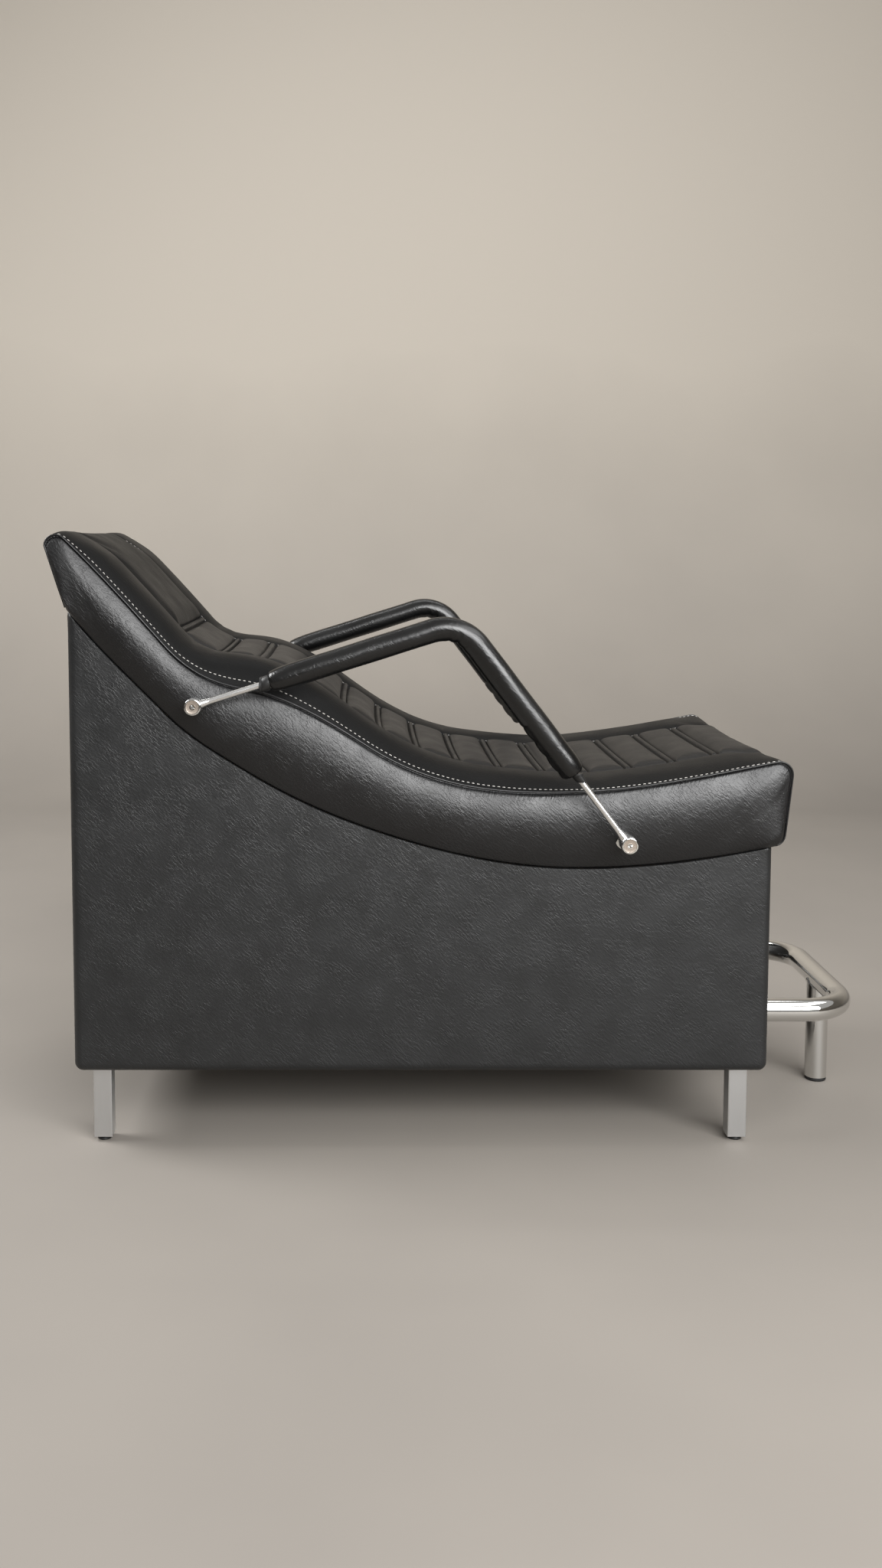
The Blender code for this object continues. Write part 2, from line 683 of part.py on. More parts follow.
def wrap_stations():
    """The strip that wraps head face, top and foot face: point, normal, crown and channel depth."""
    fine = seam_stations()
    length = fine[-1][0]
    corner_low = base_frames()[0][0] + base_frames()[0][2] * CLEARANCE
    corner_high = base_frames()[-1][0] + base_frames()[-1][2] * CLEARANCE
    nose_normal, toe_normal = fine[0][2], fine[-1][2]
    nose = fine[0][1] - nose_normal * NOSE_RADIUS
    toe = fine[-1][1] - toe_normal * TOE_RADIUS
    head_face = face_normal(corner_low, nose, NOSE_RADIUS, 1)
    foot_face = face_normal(corner_high, toe, TOE_RADIUS, -1)

    wrap = [(corner_low, head_face, 0.0, 0.0)]
    head_edge = nose + head_face * NOSE_RADIUS
    wrap.append((corner_low.lerp(head_edge, 0.5), head_face, CROWN_END, 0.0))
    wrap.append((head_edge, head_face, CROWN_END, 0.0))
    arc = arc_stations(nose, NOSE_RADIUS, head_face, nose_normal)
    wrap += [(point, normal, CROWN_END, 0.0) for point, normal in arc]

    channels = channel_places(length)
    step = channels[0] / HEAD_STATIONS
    places = [(step * (i + HEAD_FIRST_STATION), 0.0) for i in range(HEAD_STATIONS)]
    for place in channels:
        places += [(place - CHANNEL_WIDTH / 2, 0.0), (place, 1.0), (place + CHANNEL_WIDTH / 2, 0.0)]
    for distance, channel in places:
        _, point, normal = pick_station(fine, distance)
        wrap.append((point, normal, crown_at(point.x), channel * CHANNEL_DEPTH))

    wrap.append((fine[-1][1], toe_normal, CROWN_FOOT, 0.0))
    arc = arc_stations(toe, TOE_RADIUS, toe_normal, foot_face)
    wrap += [(point, normal, CROWN_END, 0.0) for point, normal in arc]
    foot_edge = toe + foot_face * TOE_RADIUS
    wrap.append((foot_edge, foot_face, CROWN_END, 0.0))
    wrap.append((corner_high.lerp(foot_edge, 0.5), foot_face, CROWN_END, 0.0))
    wrap.append((corner_high, foot_face, 0.0, 0.0))
    return wrap


def cushion_rows():
    """Rows across the strip: y, share of the crown, seam depth and share of the channels."""
    edge = CUSHION_WIDTH / 2
    seam = PANEL_WIDTH / 2
    crest = seam + (edge - seam) * BOLSTER_CREST
    half = [
        (edge, 0.0, 0.0, 0.0),
        (edge - EDGE_ROLL, EDGE_ROLL_LIFT, 0.0, 0.0),
        (crest, 1.0, 0.0, 0.0),
        (seam, SEAM_LIFT, PANEL_SEAM_DEPTH, SEAM_CHANNEL_SHARE),
        (seam - PANEL_SEAM_WIDTH / 2, PANEL_EDGE_LIFT, 0.0, 1.0),
    ]
    middle = [(0.0, PANEL_LIFT, 0.0, 1.0)]
    return [(-y, *rest) for y, *rest in half] + middle + half[::-1]


def inset_outline(points, amount):
    """A closed outline in the x-z plane drawn in along its corners' bisectors."""
    area = sum(a.x * b.z - b.x * a.z for a, b in zip(points, points[1:] + points[:1]))
    turn = 1 if area > 0 else -1
    inner = []
    for i, point in enumerate(points):
        before = (point - points[i - 1]).normalized()
        after = (points[(i + 1) % len(points)] - point).normalized()
        lean_before = Vector((-before.z, 0, before.x)) * turn
        lean_after = Vector((-after.z, 0, after.x)) * turn
        mitre = (lean_before + lean_after).normalized()
        inner.append(point + mitre * amount / max(mitre.dot(lean_after), 0.5))
    return inner


def cushion_mesh():
    """The cushion as sewn: one wrap strip, two side panels and an underside."""
    bm = bmesh.new()
    wrap = wrap_stations()
    rows = cushion_rows()
    draw_in = 1 - 2 * SIDE_DRAW_IN / CUSHION_WIDTH
    grid = []
    for i, (point, normal, crown, channel) in enumerate(wrap):
        narrow = draw_in if i in (0, len(wrap) - 1) else 1.0
        line = []
        for y, share, seam_depth, channel_share in rows:
            seamed = seam_depth if crown > CROWN_END else 0.0
            lift = crown * share - seamed - channel * channel_share
            spot = point + normal * lift
            line.append(bm.verts.new((spot.x, y * narrow, spot.z)))
        grid.append(line)
    for low, high in zip(grid, grid[1:]):
        for j in range(len(rows) - 1):
            bm.faces.new((low[j], low[j + 1], high[j + 1], high[j]))

    bottom = offset_line(base_frames()[1:-1], CLEARANCE)
    edge = CUSHION_WIDTH / 2 - SIDE_DRAW_IN
    left = [bm.verts.new((p.x, edge, p.z)) for p in bottom]
    right = [bm.verts.new((p.x, -edge, p.z)) for p in bottom]
    for i in range(len(bottom) - 1):
        bm.faces.new((right[i], right[i + 1], left[i + 1], left[i]))
    bm.faces.new(grid[0] + [left[0], right[0]])
    bm.faces.new(grid[-1] + [left[-1], right[-1]])

    flat = [point for point, *_ in wrap] + bottom[::-1]
    inner = inset_outline(flat, SIDE_ROUND)
    face_y = CUSHION_WIDTH / 2 + SIDE_BULGE
    for side, column, under in ((-1, 0, right), (1, -1, left)):
        loop = [line[column] for line in grid] + under[::-1]
        ring = [bm.verts.new((p.x, side * face_y, p.z)) for p in inner]
        skin_rings(bm, [loop, ring])
        bm.faces.new(ring)
    bmesh.ops.recalc_face_normals(bm, faces=bm.faces)
    bmesh.ops.triangulate(bm, faces=bm.faces)
    return bm


def frame_cavity():
    """Room for the seat frame in the cushion's underside, a clearance larger all round."""
    bm = bmesh.new()
    outer = RIB_OUTER_Y + CLEARANCE
    inner = RIB_INNER_Y - DECK_SIDE_GAP
    rib_top = RIB_DEPTH + CLEARANCE
    deck_top = DECK_TOP + CLEARANCE
    half = [(outer, -DECK_RISE), (outer, rib_top), (inner, rib_top), (inner, deck_top)]
    section = [(-y, rise) for y, rise in half] + half[::-1]
    frames = frame_stations()
    ends = {0: -CLEARANCE, len(frames) - 1: CLEARANCE}
    rings = []
    for i, (point, tangent, normal) in enumerate(frames):
        place = point + tangent * ends.get(i, 0.0)
        rings.append([bm.verts.new(place + normal * rise + Vector((0, y, 0))) for y, rise in section])
    skin_rings(bm, rings)
    bm.faces.new(rings[0])
    bm.faces.new(rings[-1])
    return bm


def build_cushion(materials, datum):
    cushion = add_object("seat_cushion", cushion_mesh(), datum, materials["black_vinyl"])
    holes = arm_hole_cutter("cut_arm_bolt_holes", BOLT_RADIUS + RUNNING_CLEARANCE,
                            RIB_OUTER_Y - RIB_THICKNESS / 2, STANDOFF_Y + STANDOFF_LENGTH, datum)
    combine(cushion, holes)
    combine(cushion, add_cutter("cut_frame_cavity", frame_cavity(), datum))


# Arms

def arm_corner():
    seat = hermite(seam_knots(), SEAT_X)
    return Vector((ARM_CORNER_X, 0, seat + ARM_CORNER_OVER_SEAT))


def arm_walk():
    """The arm's middle line: its ends and corner, both directions, the turn and the bend's setback."""
    bolts = arm_bolt_points()
    corner = arm_corner()
    rise = (corner - bolts["rear"]).normalized()
    fall = (bolts["front"] - corner).normalized()
    turn = rise.angle(fall)
    setback = ARM_BEND_RADIUS * math.tan(turn / 2)
    return bolts["rear"], bolts["front"], corner, rise, fall, turn, setback


def arm_length():
    rear, front, corner, _, _, turn, setback = arm_walk()
    straight = (corner - rear).length + (front - corner).length - 2 * setback
    return straight + ARM_BEND_RADIUS * turn


def arm_station(distance):
    """Point and tangent on the arm's middle line at a distance from the rear eye."""
    rear, _, corner, rise, fall, turn, setback = arm_walk()
    first = (corner - rear).length - setback
    arc = ARM_BEND_RADIUS * turn
    if distance <= first:
        return rear + rise * distance, rise
    if distance >= first + arc:
        return corner + fall * (setback + distance - first - arc), fall
    angle = (distance - first) / ARM_BEND_RADIUS
    inward = Vector((rise.z, 0, -rise.x))
    centre = corner - rise * setback + inward * ARM_BEND_RADIUS
    spin = Matrix.Rotation(angle, 3, "Y")
    return centre - (spin @ inward) * ARM_BEND_RADIUS, spin @ rise


def arm_bend_places():
    """Distances of the facets round the arm's bend."""
    rear, _, corner, _, _, turn, setback = arm_walk()
    first = (corner - rear).length - setback
    arc = ARM_BEND_RADIUS * turn
    return [first + arc * i / BEND_STEPS for i in range(BEND_STEPS + 1)]


def arm_sweep(places, radii, sides, y, bore=None):
    offset = Vector((0, y, 0))
    stations = [(point + offset, tangent) for point, tangent in map(arm_station, places)]
    return sweep(stations, radii, sides, Vector((0, 1, 0)), bore)


def build_arm_rod(name, y, materials, datum):
    length = arm_length()
    weld = (ARM_EYE_RADIUS + BOLT_RADIUS) / 2
    flare = ARM_EYE_RADIUS + ARM_FLARE_LENGTH
    places = [weld, ARM_EYE_RADIUS, flare, *arm_bend_places()]
    places += [length - flare, length - ARM_EYE_RADIUS, length - weld]
    radii = [ARM_FLARE_RADIUS] * 2 + [ARM_ROD_RADIUS] * (len(places) - 4) + [ARM_FLARE_RADIUS] * 2
    rod = add_object(f"arm_rod_{name}", arm_sweep(places, radii, ROD_SIDES, y), datum,
                     materials["chrome"])
    half = ARM_EYE_WIDTH / 2
    for end, point in arm_bolt_points().items():
        eye = turned(sleeve_profile(-half, half, BOLT_RADIUS + RUNNING_CLEARANCE, ARM_EYE_RADIUS), "Y")
        bmesh.ops.translate(eye, vec=point + Vector((0, y, 0)), verts=eye.verts)
        combine(rod, add_cutter(f"join_eye_{end}_{name}", eye, datum), "UNION")


def build_arm_pad(name, y, materials, datum):
    length = arm_length()
    bore = ARM_ROD_RADIUS + RUNNING_CLEARANCE
    low = ARM_PAD_FROM_REAR_EYE
    high = length - ARM_PAD_FROM_FRONT_EYE
    start = low + FERRULE_LENGTH + CLEARANCE
    end = high - FERRULE_LENGTH - CLEARANCE
    third = ARM_PAD_TAPER / 3
    places = [start, start + third, start + ARM_PAD_TAPER, *arm_bend_places()]
    places += [end - ARM_PAD_TAPER, end - third, end]
    shoulder = (ARM_PAD_END_RADIUS + 2 * ARM_PAD_RADIUS) / 3
    taper = [ARM_PAD_END_RADIUS, shoulder, ARM_PAD_RADIUS]
    radii = taper + [ARM_PAD_RADIUS] * (BEND_STEPS + 1) + taper[::-1]
    pad = arm_sweep(places, radii, PAD_SIDES, y, bore)
    add_object(f"arm_pad_{name}", pad, datum, materials["black_vinyl"])
    spans = {"rear": (low, low + FERRULE_LENGTH), "front": (high - FERRULE_LENGTH, high)}
    for place, span in spans.items():
        ferrule = arm_sweep(span, [FERRULE_RADIUS] * 2, PAD_SIDES, y, bore)
        add_object(f"arm_ferrule_{place}_{name}", ferrule, datum, materials["black_plastic"])


def standoff_profile():
    bore = BOLT_RADIUS + RUNNING_CLEARANCE
    return [
        (bore, 0.0),
        (STANDOFF_FLANGE_RADIUS, 0.0),
        (STANDOFF_FLANGE_RADIUS, STANDOFF_FLANGE_THICKNESS),
        (STANDOFF_RADIUS, STANDOFF_FLANGE_THICKNESS),
        (STANDOFF_RADIUS, STANDOFF_LENGTH),
        (bore, STANDOFF_LENGTH),
    ]


def bolt_profile():
    """Cap head outwards of height 0, shank inwards."""
    end = RIB_INNER_Y - TNUT_FLANGE_THICKNESS - BOLT_END_COVER
    shank = BOLT_HEAD_Y - end
    return [
        (0, -shank),
        (BOLT_RADIUS, -shank),
        (BOLT_RADIUS, 0.0),
        (BOLT_HEAD_RADIUS, 0.0),
        (BOLT_HEAD_RADIUS, BOLT_HEAD_HEIGHT - BOLT_HEAD_CHAMFER),
        (BOLT_HEAD_RADIUS - BOLT_HEAD_CHAMFER, BOLT_HEAD_HEIGHT),
        (BOLT_SOCKET_RADIUS, BOLT_HEAD_HEIGHT),
        (BOLT_SOCKET_RADIUS, BOLT_HEAD_HEIGHT - BOLT_SOCKET_DEPTH),
        (0, BOLT_HEAD_HEIGHT - BOLT_SOCKET_DEPTH),
    ]


def tnut_profile():
    """Flange inwards of height 0, barrel outwards into the rib."""
    bore = BOLT_RADIUS + RUNNING_CLEARANCE
    return [
        (bore, -TNUT_FLANGE_THICKNESS),
        (TNUT_FLANGE_RADIUS, -TNUT_FLANGE_THICKNESS),
        (TNUT_FLANGE_RADIUS, 0.0),
        (TNUT_BARREL_RADIUS, 0.0),
        (TNUT_BARREL_RADIUS, TNUT_BARREL_LENGTH),
        (bore, TNUT_BARREL_LENGTH),
    ]


def build_arm_fixings(name, side, materials, datum):
    pieces = {
        "arm_standoff": (standoff_profile(), STANDOFF_Y, "chrome"),
        "arm_bolt": (bolt_profile(), BOLT_HEAD_Y, "chrome"),
        "arm_tnut": (tnut_profile(), RIB_INNER_Y - CLEARANCE, "zinc_steel"),
    }
    for end, point in arm_bolt_points().items():
        for piece, (profile, y, material) in pieces.items():
            mesh = turned(profile, "Y")
            if side < 0:
                bmesh.ops.rotate(mesh, cent=(0, 0, 0), matrix=Matrix.Rotation(math.pi, 3, "Z"),
                                 verts=mesh.verts)
            place = point + Vector((0, side * y, 0))
            add_object(f"{piece}_{end}_{name}", mesh, datum, materials[material], place)


def build_arms(materials, datum):
    for name, side in SIDES.items():
        build_arm_rod(name, side * ARM_Y, materials, datum)
        build_arm_pad(name, side * ARM_Y, materials, datum)
        build_arm_fixings(name, side, materials, datum)


# Legs and glides

def leg_mesh():
    """Square tube, closed at the top and open below, round its own floor point."""
    half = LEG_SIZE / 2
    bottom = GLIDE_FOOT_HEIGHT + CLEARANCE
    bm = box((-half, -half, bottom), (half, half, bottom + LEG_LENGTH))
    upright = [e for e in bm.edges if abs(e.verts[0].co.z - e.verts[1].co.z) > LEG_SIZE]
    bmesh.ops.bevel(bm, geom=upright, offset=LEG_EDGE_RADIUS, segments=LEG_EDGE_STEPS, profile=0.5,
                    affect="EDGES")
    return bm


def build_leg(name, x, y, materials, datum):
    bottom = GLIDE_FOOT_HEIGHT + CLEARANCE
    top = bottom + LEG_LENGTH
    place = (x, y, 0)
    leg = add_object(f"leg_{name}", leg_mesh(), datum, materials["satin_aluminium"], place)
    inner = LEG_SIZE / 2 - LEG_WALL
    hollow = box((-inner, -inner, bottom - LEG_WALL), (inner, inner, top - LEG_WALL))
    hollow_cutter = add_cutter(f"cut_leg_{name}", hollow, datum)
    hollow_cutter.location = place
    combine(leg, hollow_cutter)
    stud = bmesh.new()
    reach = LEG_STUD_LENGTH + LEG_WALL / 2
    add_cylinder(stud, Vector((0, 0, top + LEG_STUD_LENGTH - reach / 2)), "Z", LEG_STUD_RADIUS, reach)
    stud_joint = add_cutter(f"join_leg_stud_{name}", stud, datum)
    stud_joint.location = place
    combine(leg, stud_joint, "UNION")

    half = inner - CLEARANCE
    plug = add_object(f"leg_plug_{name}", box((-half, -half, bottom), (half, half, bottom + PLUG_LENGTH)),
                      datum, materials["black_plastic"], place)
    bore = bmesh.new()
    add_cylinder(bore, Vector((0, 0, bottom + PLUG_LENGTH / 2)), "Z",
                 GLIDE_STUD_RADIUS + RUNNING_CLEARANCE, 2 * PLUG_LENGTH)
    bore_cutter = add_cutter(f"cut_plug_{name}", bore, datum)
    bore_cutter.location = place
    combine(plug, bore_cutter)


def build_glide(name, x, y, materials, datum):
    """Foot disc and its threaded stud, both with their origin on the screw's axis."""
    place = (x, y, 0)
    socket = GLIDE_STUD_RADIUS + RUNNING_CLEARANCE
    foot = [
        (0, 0.0),
        (GLIDE_FOOT_RADIUS - GLIDE_FOOT_EDGE, 0.0),
        (GLIDE_FOOT_RADIUS, GLIDE_FOOT_EDGE),
        (GLIDE_FOOT_RADIUS, GLIDE_FOOT_HEIGHT - GLIDE_FOOT_EDGE),
        (GLIDE_FOOT_RADIUS - GLIDE_FOOT_EDGE, GLIDE_FOOT_HEIGHT),
        (socket, GLIDE_FOOT_HEIGHT),
        (socket, GLIDE_STUD_SEAT),
        (0, GLIDE_STUD_SEAT),
    ]
    add_object(f"glide_foot_{name}", turned(foot), datum, materials["black_plastic"], place)
    low = GLIDE_STUD_SEAT + CLEARANCE
    stud = [(0, low), (GLIDE_STUD_RADIUS, low), (GLIDE_STUD_RADIUS, low + GLIDE_STUD_LENGTH),
            (0, low + GLIDE_STUD_LENGTH)]
    add_object(f"glide_stud_{name}", turned(stud), datum, materials["zinc_steel"], place)


def build_legs(materials, datum):
    for name, x, y in leg_places():
        build_leg(name, x, y, materials, datum)
        build_glide(name, x, y, materials, datum)


# Footrest

def footrest_stations():
    """Point and tangent round the footrest's U, from the right socket to the left one."""
    half = FOOTREST_SPACING / 2
    inner_end = FOOT_PANEL_X - PANEL_THICKNESS - SOCKET_LENGTH
    stations = [(Vector((inner_end, -half, FOOTREST_HEIGHT)), Vector((1, 0, 0)))]
    for side in (-1, 1):
        centre = Vector((BAR_X - FOOTREST_BEND_RADIUS, side * (half - FOOTREST_BEND_RADIUS),
                         FOOTREST_HEIGHT))
        for i in range(BEND_STEPS + 1):
            angle = math.pi / 2 * i / BEND_STEPS + (0 if side > 0 else -math.pi / 2)
            out = Vector((math.cos(angle), math.sin(angle), 0))
            stations.append((centre + out * FOOTREST_BEND_RADIUS, Vector((-out.y, out.x, 0))))
    stations.append((Vector((inner_end, half, FOOTREST_HEIGHT)), Vector((-1, 0, 0))))
    return stations


def build_footrest(materials, datum):
    stations = footrest_stations()
    loop = sweep(stations, [TUBE_RADIUS] * len(stations), TUBE_SIDES, Vector((0, 0, 1)),
                 TUBE_RADIUS - TUBE_WALL)
    add_object("footrest_loop", loop, datum, materials["chrome"])

    low = TIP_HEIGHT + CLEARANCE
    high = FOOTREST_HEIGHT - FOOTREST_LEG_COPE
    bore = TUBE_RADIUS - TUBE_WALL
    place = (BAR_X, 0, 0)
    leg = add_object("footrest_leg", turned(sleeve_profile(low, high, bore, TUBE_RADIUS),
                                            sides=TUBE_SIDES), datum, materials["chrome"], place)
    cope = bmesh.new()
    add_cylinder(cope, Vector((0, 0, FOOTREST_HEIGHT)), "Y", TUBE_RADIUS + CLEARANCE, 4 * TUBE_RADIUS,
                 2 * TUBE_SIDES)
    cope_cutter = add_cutter("cut_footrest_cope", cope, datum)
    cope_cutter.location = place
    combine(leg, cope_cutter)

    spigot = bore - RUNNING_CLEARANCE
    tip = [(0, 0.0), (TIP_RADIUS - TIP_EDGE, 0.0), (TIP_RADIUS, TIP_EDGE),
           (TIP_RADIUS, TIP_HEIGHT), (spigot, TIP_HEIGHT), (spigot, TIP_HEIGHT + TIP_SPIGOT_LENGTH),
           (0, TIP_HEIGHT + TIP_SPIGOT_LENGTH)]
    add_object("footrest_tip", turned(tip, sides=TUBE_SIDES), datum, materials["black_rubber"], place)

    hole = TUBE_RADIUS + RUNNING_CLEARANCE
    barrel = hole + SOCKET_WALL
    socket = [(hole, -SOCKET_LENGTH), (barrel, -SOCKET_LENGTH), (barrel, -SOCKET_FLANGE_THICKNESS),
              (SOCKET_FLANGE_RADIUS, -SOCKET_FLANGE_THICKNESS), (SOCKET_FLANGE_RADIUS, 0.0), (hole, 0.0)]
    face = FOOT_PANEL_X - PANEL_THICKNESS - CLEARANCE
    for name, side in SIDES.items():
        spot = (face, side * FOOTREST_SPACING / 2, FOOTREST_HEIGHT)
        add_object(f"footrest_socket_{name}", turned(socket, "X", TUBE_SIDES), datum,
                   materials["zinc_steel"], spot)


def add_datum():
    """Empty that puts the middle of the chair's length over the origin."""
    head = min((point + normal * crown).x for point, normal, crown, _ in wrap_stations())
    foot = BASE_LENGTH + FOOTREST_REACH
    datum = bpy.data.objects.new("chair_datum", None)
    bpy.context.scene.collection.objects.link(datum)
    datum.location = (-(head + foot) / 2, 0, 0)
    return datum


def main():
    clear_scene()
    materials = make_materials()
    datum = add_datum()
    build_sides(materials, datum)
    build_ends(materials, datum)
    build_bottom(materials, datum)
    build_seat_frame(materials, datum)
    build_cushion(materials, datum)
    build_arms(materials, datum)
    build_legs(materials, datum)
    build_footrest(materials, datum)


main()
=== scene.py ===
"""Looks of the shampoo lounge chair: vinyl, stitching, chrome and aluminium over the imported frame.

Metres, in the frame's axes: x runs from the head end to the footrest, y across the chair with the
sitter's right side at -y, z up from the floor. A line is a curve of the side view, given as x and z.
"""

import json
import math

import bmesh
import bpy
import numpy as np
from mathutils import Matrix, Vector
from mathutils.bvhtree import BVHTree


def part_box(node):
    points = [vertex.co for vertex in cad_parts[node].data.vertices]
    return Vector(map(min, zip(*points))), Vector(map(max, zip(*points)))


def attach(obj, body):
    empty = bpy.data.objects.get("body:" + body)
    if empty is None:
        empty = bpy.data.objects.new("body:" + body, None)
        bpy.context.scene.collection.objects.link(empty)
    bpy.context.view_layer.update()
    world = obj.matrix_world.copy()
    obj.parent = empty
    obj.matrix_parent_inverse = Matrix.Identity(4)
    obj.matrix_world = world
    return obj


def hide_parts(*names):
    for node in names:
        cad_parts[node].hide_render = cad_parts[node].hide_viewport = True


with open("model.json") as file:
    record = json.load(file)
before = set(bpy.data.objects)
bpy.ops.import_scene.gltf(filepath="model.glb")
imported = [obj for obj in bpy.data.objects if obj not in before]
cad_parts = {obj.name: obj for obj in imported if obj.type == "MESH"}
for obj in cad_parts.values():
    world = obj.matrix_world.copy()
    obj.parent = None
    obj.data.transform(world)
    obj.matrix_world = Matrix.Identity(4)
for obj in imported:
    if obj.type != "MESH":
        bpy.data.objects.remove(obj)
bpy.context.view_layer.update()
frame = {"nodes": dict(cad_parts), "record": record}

MM = 0.001
SIDES = {"right": -1, "left": 1}
ACROSS = np.array((0.0, 1.0, 0.0))

# Places that the frame gives
base_low, base_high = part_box("side_cover_right")
HEAD_X, FOOT_X = base_low.x, base_high.x
BASE_BOTTOM = base_low.z
BASE_FACE_Y = -base_low.y
COVER_INNER_Y = -base_high.y
RIB_INNER_Y, RIB_OUTER_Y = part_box("seat_rib_left")[0].y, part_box("seat_rib_left")[1].y
CAVITY_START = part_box("seat_deck")[0].x - 1 * MM
CAVITY_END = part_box("seat_rib_left")[1].x + 1 * MM

# Side view of the chair: place from the head end, height of the base's side and its slope there,
# depth of the cushion over it and the slope of the cushion's seam
PROFILE = (
    (0.0, 0.7325, -1.30, 0.107, -0.98),
    (0.150, 0.571, -1.03, 0.1065, -1.14),
    (0.275, 0.480, -0.63, 0.129, -0.17),
    (0.465, 0.3895, -0.35, 0.130, -0.65),
    (0.790, 0.325, -0.01, 0.1215, 0.03),
    (FOOT_X - HEAD_X, 0.360, 0.22, 0.133, 0.20),
)
BASE_CURVE = [(HEAD_X + x, BASE_BOTTOM + side, slope) for x, side, slope, _, _ in PROFILE]
SEAM_CURVE = [(HEAD_X + x, BASE_BOTTOM + side + depth, slope) for x, side, _, depth, slope in PROFILE]
CROWNS = (
    (HEAD_X + 0.150, 24 * MM),
    (HEAD_X + 0.275, 45 * MM),
    (HEAD_X + 0.465, 25 * MM),
    (HEAD_X + 0.650, 21 * MM),
    (HEAD_X + 0.860, 11 * MM),
    (FOOT_X, 8 * MM),
)
NOSE_START, NOSE_RADIUS = 3 * MM, 16.5 * MM
TOE_START, TOE_RADIUS = 3 * MM, 20 * MM
HEM_RISE, HEM_RADIUS = 19 * MM, 17 * MM   # rounding under the foot end, over the base's corner

# Sizes of the cushion
SEAM_Y = 297 * MM
PANEL_SEAM_Y = 162.5 * MM
CREST_Y = 217 * MM
REST_GAP = 0.05 * MM        # between the cushion and the base's top edge
SIDE_BULGE = 13 * MM
SIDE_TUCK = 2 * MM
SIDE_CREST = 0.32           # share of a side panel's depth at which it bulges most
SIDE_OVER, SIDE_UNDER = 2.3, 2.2    # how sharply it turns over and under that crest
SEAM_GROOVE = 2.6 * MM
FACE_CROWN = 4 * MM         # of the head and foot faces
CHANNEL_PITCH = 72.5 * MM
LAST_CHANNEL = 64 * MM      # from the toe, along the seam
NECK_GAP = 14 * MM          # more than the pitch, between the first two channels
CHANNEL_COUNT = 14
CHANNEL_HALF = 6 * MM       # from a channel's middle to each of its two stitch lines
PAD_RISE = 2.5 * MM
PAD_DROP = 4 * MM
LINE_DEPTH = 4.5 * MM
PAD_SHOULDER = 16 * MM      # over which a pad rises from its stitch line
PANEL_FADE = 50 * MM        # over which the pads die away towards the panel's ends
TOE_DROP = 7 * MM           # the panel's end falls away before the toe
BLOW_PRESSURE = 4.0
BLOW_MOST = 3.5 * MM        # that the simulation may move a point
BLOW_FRAMES = 20
WELT_RADIUS = 1.4 * MM
WELT_RISE = 0.6 * MM
STITCH_PITCH = 8.2 * MM
TOPSTITCH_IN = 6 * MM       # from the side seam
PANEL_STITCH_OUT = 5 * MM   # from the panel's seam
TOPSTITCH = (4.2 * MM, 0.62 * MM)   # length and radius of a stitch
PANEL_STITCH = (4 * MM, 0.45 * MM)
STITCH_LIFT = 0.15 * MM     # of a stitch's middle over the vinyl


def smooth(t):
    """Smooth step from 0 to 1."""
    t = np.clip(t, 0, 1)
    return t * t * (3 - 2 * t)


def height_on(curve, x):
    """Height of a cubic Hermite curve through (place, height, slope), straight on past its ends."""
    places, heights, slopes = (np.array(column) for column in zip(*curve))
    x = np.asarray(x, float)
    k = np.clip(np.searchsorted(places, x) - 1, 0, len(places) - 2)
    span = places[k + 1] - places[k]
    t = np.clip((x - places[k]) / span, 0, 1)
    start = (1 + 2 * t) * (1 - t) ** 2 * heights[k] + t * (1 - t) ** 2 * span * slopes[k]
    end = t * t * (3 - 2 * t) * heights[k + 1] + t * t * (t - 1) * span * slopes[k + 1]
    past = np.minimum(x - places[0], 0) * slopes[0] + np.maximum(x - places[-1], 0) * slopes[-1]
    return start + end + past


def steps(start, end, spacing):
    """Even places from start to end, about a spacing apart."""
    return np.linspace(start, end, max(2, round(abs(end - start) / spacing) + 1))


def distances(points):
    """Distance of each point of a line from its first."""
    return np.concatenate([[0], np.cumsum(np.linalg.norm(np.diff(points, axis=0), axis=1))])


def values_at(s, distance, values):
    """Pairs of values at distances along a line."""
    return np.stack([np.interp(s, distance, values[:, k]) for k in (0, 1)], axis=-1)


def in_mm(profile):
    """A profile given in millimetres."""
    return [(radius * MM, height * MM) for radius, height in profile]


# Colour and node helpers

def linear(code):
    """Linear colour of an sRGB hex value such as 1d1c1b."""
    channels = [int(code[i:i + 2], 16) / 255 for i in (0, 2, 4)]
    return [c / 12.92 if c <= 0.04045 else ((c + 0.055) / 1.055) ** 2.4 for c in channels] + [1.0]


def add_node(material, kind, inputs=(), **settings):
    """Add a node with its settings; inputs maps sockets to values, nodes or sockets."""
    tree = material.node_tree
    new = tree.nodes.new("ShaderNode" + kind)
    for name, value in settings.items():
        setattr(new, name, value)
    for key, value in dict(inputs).items():
        if isinstance(value, bpy.types.Node):
            value = value.outputs[0]
        if isinstance(value, bpy.types.NodeSocket):
            tree.links.new(value, new.inputs[key])
        else:
            new.inputs[key].default_value = value
    return new


def start_material(name, code, roughness, **values):
    """A Principled material, its shader and the place on the object.

    Values fill further sockets of the shader, with _ for a space.
    """
    material = bpy.data.materials.new(name)
    material.use_nodes = True
    shader = material.node_tree.nodes["Principled BSDF"]
    shader.inputs["Base Color"].default_value = linear(code)
    shader.inputs["Roughness"].default_value = roughness
    for key, value in values.items():
        shader.inputs[key.replace("_", " ")].default_value = value
    return material, shader, add_node(material, "TexCoord").outputs["Object"]


def wire(material, shader, **nodes):
    """Link nodes to the shader's sockets of those names, with _ for a space."""
    for key, node in nodes.items():
        material.node_tree.links.new(node.outputs[0], shader.inputs[key.replace("_", " ")])
    return material


# Materials

